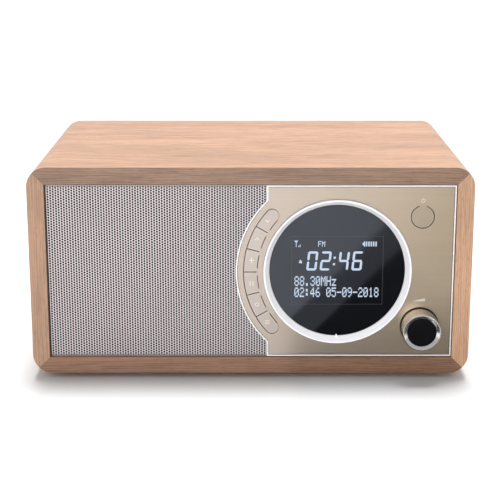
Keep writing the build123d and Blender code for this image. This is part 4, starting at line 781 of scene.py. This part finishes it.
class RADIO_OT_display(bpy.types.Operator):
    """Lights the display: its characters lie on the face of the smoked window"""
    bl_idname = "radio.display"
    bl_label = "Display"

    def execute(self, context):
        wish = context.scene.radio_display
        lit = moulded(
            "lit_segment", (0.08, 0.09, 0.11), 0.5, 600.0, 0.02, 0.0,
            **{"Emission Color": (*wish.glow, 1), "Emission Strength": wish.strength})
        window = moulded(
            "smoked_window", (0.003, 0.003, 0.004), 0.07, 60.0, 0.05, 0.0, uneven=0.03,
            **{"IOR": 1.6, "Specular Tint": (0.80, 0.88, 1.0, 1)})
        dress(window, "display_window")
        dull = {"Specular IOR Level": 0.1}
        dress(moulded("panel_glass", (0.008, 0.010, 0.013), 0.5, 200.0, 0.05, 0.0, **dull), "lcd_panel")
        dress(moulded("light_box", (0.8, 0.82, 0.84), 0.5, 700.0, 0.05, 0.1), "lcd_backlight")
        dress(moulded("frame_black", (0.006, 0.006, 0.007), 0.6, 1100.0, 0.2, 0.0, **dull), "display_frame")
        low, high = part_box("lcd_panel")
        low, high = low / MM, high / MM
        edge = bmesh.new()
        left, right, bottom, top = low.x + 2.3, high.x - 2.3, low.z + 1.7, high.z - 1.2
        line = 0.22
        for x in (left, right):
            bar(edge, x, (bottom + top) / 2, line, top - bottom + line, *LIT)
        for z in (bottom, top):
            bar(edge, (left + right) / 2, z, right - left - line, line, *LIT)
        # Painted highlight: a grey line round the panel, glowing faintly, stands for the light caught along
        # the glass's edge.
        edge_highlight = moulded("glass_edge_highlight", (0.035, 0.04, 0.045), 0.3, 300.0, 0.05, 0.0,
                       **{"Emission Color": (0.2, 0.22, 0.25, 1), "Emission Strength": 0.03})
        make_piece("display_edge_highlight", edge, edge_highlight, "radio")
        digits = bmesh.new()
        self.large_clock(digits, wish.digit_height / MM)
        make_piece("clock_digits", digits, lit, "radio")
        rows = bmesh.new()
        self.dot_text(rows, "88.30MHz", 26.9, 58.4, 3.27, 6.2)
        self.dot_text(rows, "02:46 05-09-2018", 26.9, 51.3, 3.27, 6.1)
        make_piece("display_rows", rows, lit, "radio")
        icons = bmesh.new()
        self.icons(icons)
        make_piece("display_icons", icons, lit, "radio")
        return {"FINISHED"}

    def large_clock(self, bm, tall):
        """Four slanted seven-segment digits and a colon."""
        slant, wide, line = 0.10, tall * 0.52, tall * 0.115
        centre_z = DIAL.z / MM + 6.3
        for digit, x in zip("0246", (37.7, 45.9, 57.0, 65.3)):
            for piece in SEGMENTS[digit]:
                self.segment(bm, piece, x, centre_z, wide, tall, line, slant)
        for side in (-1, 1):
            up = side * tall * 0.17
            bar(bm, 51.2 + slant * up, centre_z + up, line * 0.95, line * 0.95, *LIT, slant)

    def segment(self, bm, piece, x, z, wide, tall, line, slant):
        """One bevelled segment, lettered a to g from the top round to the middle."""
        half_w, half_h, gap = wide / 2, tall / 2, line * 0.16
        middles = {"a": (0, half_h), "b": (half_w, half_h / 2), "c": (half_w, -half_h / 2), "d": (0, -half_h),
                   "e": (-half_w, -half_h / 2), "f": (-half_w, half_h / 2), "g": (0, 0)}
        cx, cz = middles[piece]
        lying = piece in "adg"
        reach = (half_w if lying else half_h / 2) - gap
        t = line / 2
        inset_z = -t if piece == "a" else t if piece == "d" else 0
        inset_x = -t if piece in "bc" else t if piece in "ef" else 0
        end = reach - t
        if lying:
            outline = ((-reach, 0), (-end, t), (end, t), (reach, 0), (end, -t), (-end, -t))
        else:
            outline = ((0, -reach), (t, -end), (t, end), (0, reach), (-t, end), (-t, -end))
        points = []
        for px, pz in outline:
            qx, qz = cx + px + inset_x, cz + pz + inset_z
            points.append((x + qx + slant * qz, z + qz))
        flat(bm, points, LIT)

    def dot_text(self, bm, text, left, bottom, step, tall):
        """A row of five by seven dot characters; runs of dots in a line become one bar."""
        cell_x, cell_z = step / 6, tall / 7
        for place, sign in enumerate(text):
            for line, row in enumerate(DOTS.get(sign, "").split()):
                start = None
                for column, dot in enumerate(row + "0"):
                    if dot == "1" and start is None:
                        start = column
                    if dot == "0" and start is not None:
                        wide = (column - start) * cell_x
                        x = left + place * step + start * cell_x + wide / 2
                        z = bottom + (6.5 - line) * cell_z
                        bar(bm, x, z, wide, cell_z, *LIT)
                        start = None

    def icons(self, bm):
        """Signal, band letters, battery and a small bell."""
        bar(bm, 27.8, 84.9, 0.4, 3.6, *LIT)
        flat(bm, ((26.5, 87.1), (29.1, 87.1), (27.8, 85.5)), LIT)
        for i in range(2):
            bar(bm, 29.4 + i * 0.8, 83.5 + i * 0.35, 0.45, 0.9 + i * 0.7, *LIT)
        self.dot_text(bm, "FM", 41.2, 83.3, 2.3, 3.5)
        flat(bm, ((68.0, 85.0), (69.8, 83.0), (69.8, 87.0)), LIT)
        for i in range(5):
            bar(bm, 70.7 + i * 1.45, 85.0, 0.85, 3.0, *LIT)
        x, z = 30.5, 73.8
        flat(bm, ((x - 0.3, z + 1.3), (x + 0.9, z + 0.2), (x + 0.9, z - 1.1), (x - 1.1, z - 0.7)), LIT)


class RADIO_OT_knob(bpy.types.Operator):
    """Finishes the knob, its bright dished ring and gloss inlay, and the encoder under it"""
    bl_idname = "radio.knob"
    bl_label = "Volume knob"

    def execute(self, context):
        centre = (KNOB.x, 0, KNOB.z)
        barrel = turned("champagne_turned", (0.60, 0.54, 0.49), 0.27, centre, 0.14,
                        bump=0.15, bump_depth=0.02)
        dress(barrel, "knob_sleeve")
        dress(turned("bright_turned", (0.80, 0.78, 0.78), 0.22, centre, 0.06), "knob_bezel")
        dull = {"Specular IOR Level": 0.08}
        dress(moulded("black_inlay", (0.003, 0.003, 0.005), 0.45, 700.0, 0.1, 0.05, **dull), "knob_inlay")
        steel = turned("turned_steel", (0.66, 0.66, 0.66), 0.3, centre, bump=0.1)
        dress(steel, "encoder_shaft", "encoder_body")
        dress(turned("nickel_brass", (0.7, 0.64, 0.5), 0.3, centre), "encoder_nut", "board_standoffs")
        dress(black_plastic(), "encoder_plunger")
        return {"FINISHED"}


class RADIO_OT_loudspeaker(bpy.types.Operator):
    """Finishes the loudspeaker's pieces"""
    bl_idname = "radio.loudspeaker"
    bl_label = "Loudspeaker"

    def execute(self, context):
        centre = (CONE.x, 0, CONE.z)
        dress(moulded("basket_paint", (0.03, 0.03, 0.032), 0.45, 800.0, 0.15, 0.2), "driver_frame")
        dress(moulded("roll_rubber", (0.015, 0.015, 0.015), 0.7, 1000.0, 0.2, 0.2),
              "driver_surround", "driver_gasket")
        dress(moulded("pressed_paper", (0.05, 0.048, 0.045), 0.9, 500.0, 0.5, 0.6, 0.08),
              "driver_cone", "driver_dust_cap")
        dress(turned("wound_copper", (0.75, 0.36, 0.18), 0.35, centre, bump=0.5), "driver_voice_coil")
        dress(finish("spider_weave", "plain_weave", {"Base": (0.6, 0.42, 0.15)}, bump=0.4), "driver_spider")
        iron = turned("plated_iron", (0.58, 0.58, 0.6), 0.35, centre, bump=0.1)
        dress(iron, "driver_front_plate", "driver_yoke")
        dress(moulded("ferrite_black", (0.04, 0.04, 0.042), 0.6, 500.0, 0.4, 0.4), "driver_magnet")
        return {"FINISHED"}


class RADIO_OT_electronics(bpy.types.Operator):
    """Finishes the circuit boards, switches, tuning encoder and wiring"""
    bl_idname = "radio.electronics"
    bl_label = "Electronics"

    def execute(self, context):
        dress(moulded("solder_mask", (0.01, 0.09, 0.04), 0.3, 300.0, 0.3, 0.1), "control_board", "main_board")
        dress(moulded("switch_grey", (0.05, 0.05, 0.055), 0.45, 900.0, 0.1, 0.15),
              "key_switches", "dial_encoder")
        dress(moulded("grey_cable", (0.45, 0.45, 0.47), 0.5, 900.0, 0.1, 0.15), "wiring_loom")
        return {"FINISHED"}


class RADIO_OT_back(bpy.types.Operator):
    """Finishes the back panel and its sockets, with moulded ribs and plain symbols"""
    bl_idname = "radio.back"
    bl_label = "Back panel"

    def execute(self, context):
        skin = moulded("back_moulding", (0.02, 0.02, 0.022), 0.6, 700.0, 0.3, 0.5, 0.06)
        dress(skin, "rear_panel")
        dress(moulded("jack_black", (0.012, 0.012, 0.013), 0.35, 900.0, 0.2, 0.2),
              "audio_jacks", "dc_jack", "aerial_base")
        outer = (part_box("rear_panel")[1].y - FRONT) / MM
        ribs = bmesh.new()
        for i in range(13):
            bar(ribs, -100 + i * 4.0, 62.0, 1.6, 26.0, outer, outer + 0.8)
        make_piece("back_ribs", ribs, skin, "radio")
        marks = bmesh.new()
        ink = (outer, outer + 0.05)
        x, z = self.above("audio_jacks", 9.0)
        band(marks, x, z, 1.2, 1.6, 0, 180, *ink)
        for ear in (-1, 1):
            bar(marks, x + ear * 1.4, z - 0.6, 0.8, 1.3, *ink)
        x, z = self.above("audio_jacks", -9.0)
        band(marks, x, z + 0.3, 1.2, 1.6, -120, 120, *ink)
        bar(marks, x - 1.2, z + 0.3, 1.8, 0.4, *ink)
        flat(marks, ((x + 0.6, z + 0.3), (x - 0.4, z + 1.1), (x - 0.4, z - 0.5)), ink)
        x, z = self.above("dc_jack")
        bar(marks, x, z + 0.6, 4.0, 0.45, *ink)
        for i in (-1, 0, 1):
            bar(marks, x + i * 1.5, z - 0.5, 0.9, 0.45, *ink)
        make_piece("back_marks", marks, print_paint(), "radio")
        return {"FINISHED"}

    def above(self, name, aside=0.0):
        """The place of a mark over a socket, in millimetres."""
        return middle(name).x / MM + aside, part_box(name)[1].z / MM + 3.0


class RADIO_OT_aerial(bpy.types.Operator):
    """Plates the folding telescopic aerial"""
    bl_idname = "radio.aerial"
    bl_label = "Aerial"

    def execute(self, context):
        plating = {"Base": (0.72, 0.72, 0.74), "Streaks": 0.04, "Roughness": 0.12}
        dress(finish("bright_plating", "brushed_lines", plating, Metallic=1.0), *TUBES, "aerial_swivel")
        return {"FINISHED"}


class RADIO_OT_stage(bpy.types.Operator):
    """Sets the floor, the soft light, the surroundings and the camera"""
    bl_idname = "radio.stage"
    bl_label = "Studio"

    def execute(self, context):
        wish = context.scene.radio_stage
        scene = context.scene
        scene.view_settings.view_transform = "Standard"
        self.floor()
        self.backdrop()
        self.flags()
        overhead = self.light("overhead", wish.sun, 22, (radians(-12), radians(2), 0))
        overhead.visible_glossy = False  # its mirror image would burn out the lacquered top
        self.light("front_fill", wish.fill, 30, (radians(82), 0, radians(-8)))
        ring_light = self.light("ring_light", wish.ring_light, 30, (radians(55), 0, 0))
        lit_only = bpy.data.collections.new("lit_by_ring_light")
        lit_only.objects.link(NODES["dial_ring"])
        ring_light.light_linking.receiver_collection = lit_only
        self.surroundings(wish.sky)
        camera = bpy.data.objects.new("camera", bpy.data.cameras.new("camera"))
        scene.collection.objects.link(camera)
        camera.data.lens = wish.lens
        camera.data.sensor_width = 36.0
        camera.data.clip_end = 50.0
        camera.location = (-0.4 * MM, FRONT - wish.distance, wish.height)
        camera.rotation_euler = (pi / 2 - wish.pitch, 0, 0)
        scene.camera = camera
        return {"FINISHED"}

    def face(self, name, corners, material):
        """A flat face of the studio, from its corners in metres."""
        sheet = bmesh.new()
        sheet.faces.new([sheet.verts.new(corner) for corner in corners])
        made = mesh_object(name, sheet, material)
        return made

    def floor(self):
        pale = moulded("pale_floor", (0.80, 0.80, 0.80), 0.4, 4.0, 0.01, 0.0)
        self.face("floor", ((-8, -8, 0), (8, -8, 0), (8, 8, 0), (-8, 8, 0)), pale)

    def backdrop(self):
        """A bright wall far behind, which the lacquer picks up at low angles."""
        white = moulded("backdrop_white", (0.02, 0.02, 0.02), 0.9, 4.0, 0.01, 0.0,
                        **{"Emission Color": (1, 1, 1, 1), "Emission Strength": 0.62})
        wall = self.face("backdrop", ((-4, 3, 0), (4, 3, 0), (4, 3, 2.5), (-4, 3, 2.5)), white)
        wall.visible_camera = wall.visible_diffuse = wall.visible_shadow = False

    def flags(self):
        """Dark cards seen only in reflections, for the display and the panel."""
        self.card("display_shade", ((11, 60), (135.6, 430), (140, 400), (135, 230), (92, 60)), glow=0.55)
        self.card("display_flag", ((35.5, 60), (136, 330), (135, 230), (92, 60)), height=1.7, glow=0.03)
        self.card("panel_flag", ((132, 0), (420, 0), (420, 110), (185, 110)), 250)
        self.card("floor_flag", ((26, 3), (215, 3), (215, 118), (110, 118), (90, 76), (26, 76)), height=1.9)

    def card(self, name, outline, away=None, height=1.5, glow=0.0):
        """A card outlined in millimetres: upright and away from the front, or lying at a height."""
        if away is None:
            corners = [(x * MM, depth(-reach), height * MM) for x, reach in outline]
        else:
            corners = [(x * MM, depth(-away), z * MM) for x, z in outline]
        dark = moulded(name + "_face", (0.01, 0.01, 0.01), 0.9, 10.0, 0.0, 0.0,
                       **{"Emission Color": (1, 1, 1, 1), "Emission Strength": glow})
        made = self.face(name, corners, dark)
        made.visible_camera = made.visible_diffuse = made.visible_shadow = made.visible_transmission = False

    def light(self, name, strength, spread, turn):
        """A distant light, with its spread in degrees."""
        data = bpy.data.lights.new(name, "SUN")
        data.energy = strength
        data.angle = radians(spread)
        lamp = bpy.data.objects.new(name, data)
        bpy.context.scene.collection.objects.link(lamp)
        lamp.rotation_euler = turn
        return lamp

    def surroundings(self, strength):
        """An even sky, brighter where the camera sees it."""
        world = bpy.context.scene.world or bpy.data.worlds.new("studio")
        bpy.context.scene.world = world
        world.use_nodes = True
        tree = world.node_tree
        tree.nodes.clear()
        seen = tree.nodes.new("ShaderNodeLightPath").outputs["Is Camera Ray"]
        behind = 1.1  # a little over white, so that the picture's ground has no edge
        bright = sum_of(tree, "MULTIPLY_ADD", seen, behind - strength, strength)
        sky = add(tree, "ShaderNodeBackground", {"Color": (0.97, 0.98, 1.0, 1), "Strength": bright})
        output = add(tree, "ShaderNodeOutputWorld")
        tree.links.new(sky.outputs[0], output.inputs[0])


OPERATORS = (
    RADIO_OT_timber, RADIO_OT_grille, RADIO_OT_fascia, RADIO_OT_dial, RADIO_OT_display, RADIO_OT_knob,
    RADIO_OT_loudspeaker, RADIO_OT_electronics, RADIO_OT_back, RADIO_OT_aerial, RADIO_OT_stage,
)
SETTINGS = {
    "radio_timber": RadioTimber, "radio_grille": RadioGrille, "radio_dial": RadioDial,
    "radio_display": RadioDisplay, "radio_stage": RadioStage,
}


class RADIO_PT_panel(bpy.types.Panel):
    """Lists the radio's finishes"""
    bl_idname = "RADIO_PT_panel"
    bl_label = "Tabletop radio"
    bl_space_type = "VIEW_3D"
    bl_region_type = "UI"
    bl_category = "Radio"

    def draw(self, context):
        for operator in OPERATORS:
            self.layout.operator(operator.bl_idname)
        for name, group in SETTINGS.items():
            box = self.layout.box()
            for label in group.__annotations__:
                box.prop(getattr(context.scene, name), label)


def register():
    for name, group in SETTINGS.items():
        bpy.utils.register_class(group)
        setattr(bpy.types.Scene, name, PointerProperty(type=group))
    for made in (*OPERATORS, RADIO_PT_panel):
        bpy.utils.register_class(made)


def unregister():
    for made in (RADIO_PT_panel, *reversed(OPERATORS)):
        bpy.utils.unregister_class(made)
    for name, group in reversed(SETTINGS.items()):
        delattr(bpy.types.Scene, name)
        bpy.utils.unregister_class(group)


def main():
    register()
    for operator in OPERATORS:
        family, name = operator.bl_idname.split(".")
        getattr(getattr(bpy.ops, family), name)()
    bpy.context.view_layer.update()


if __name__ == "__main__":
    main()
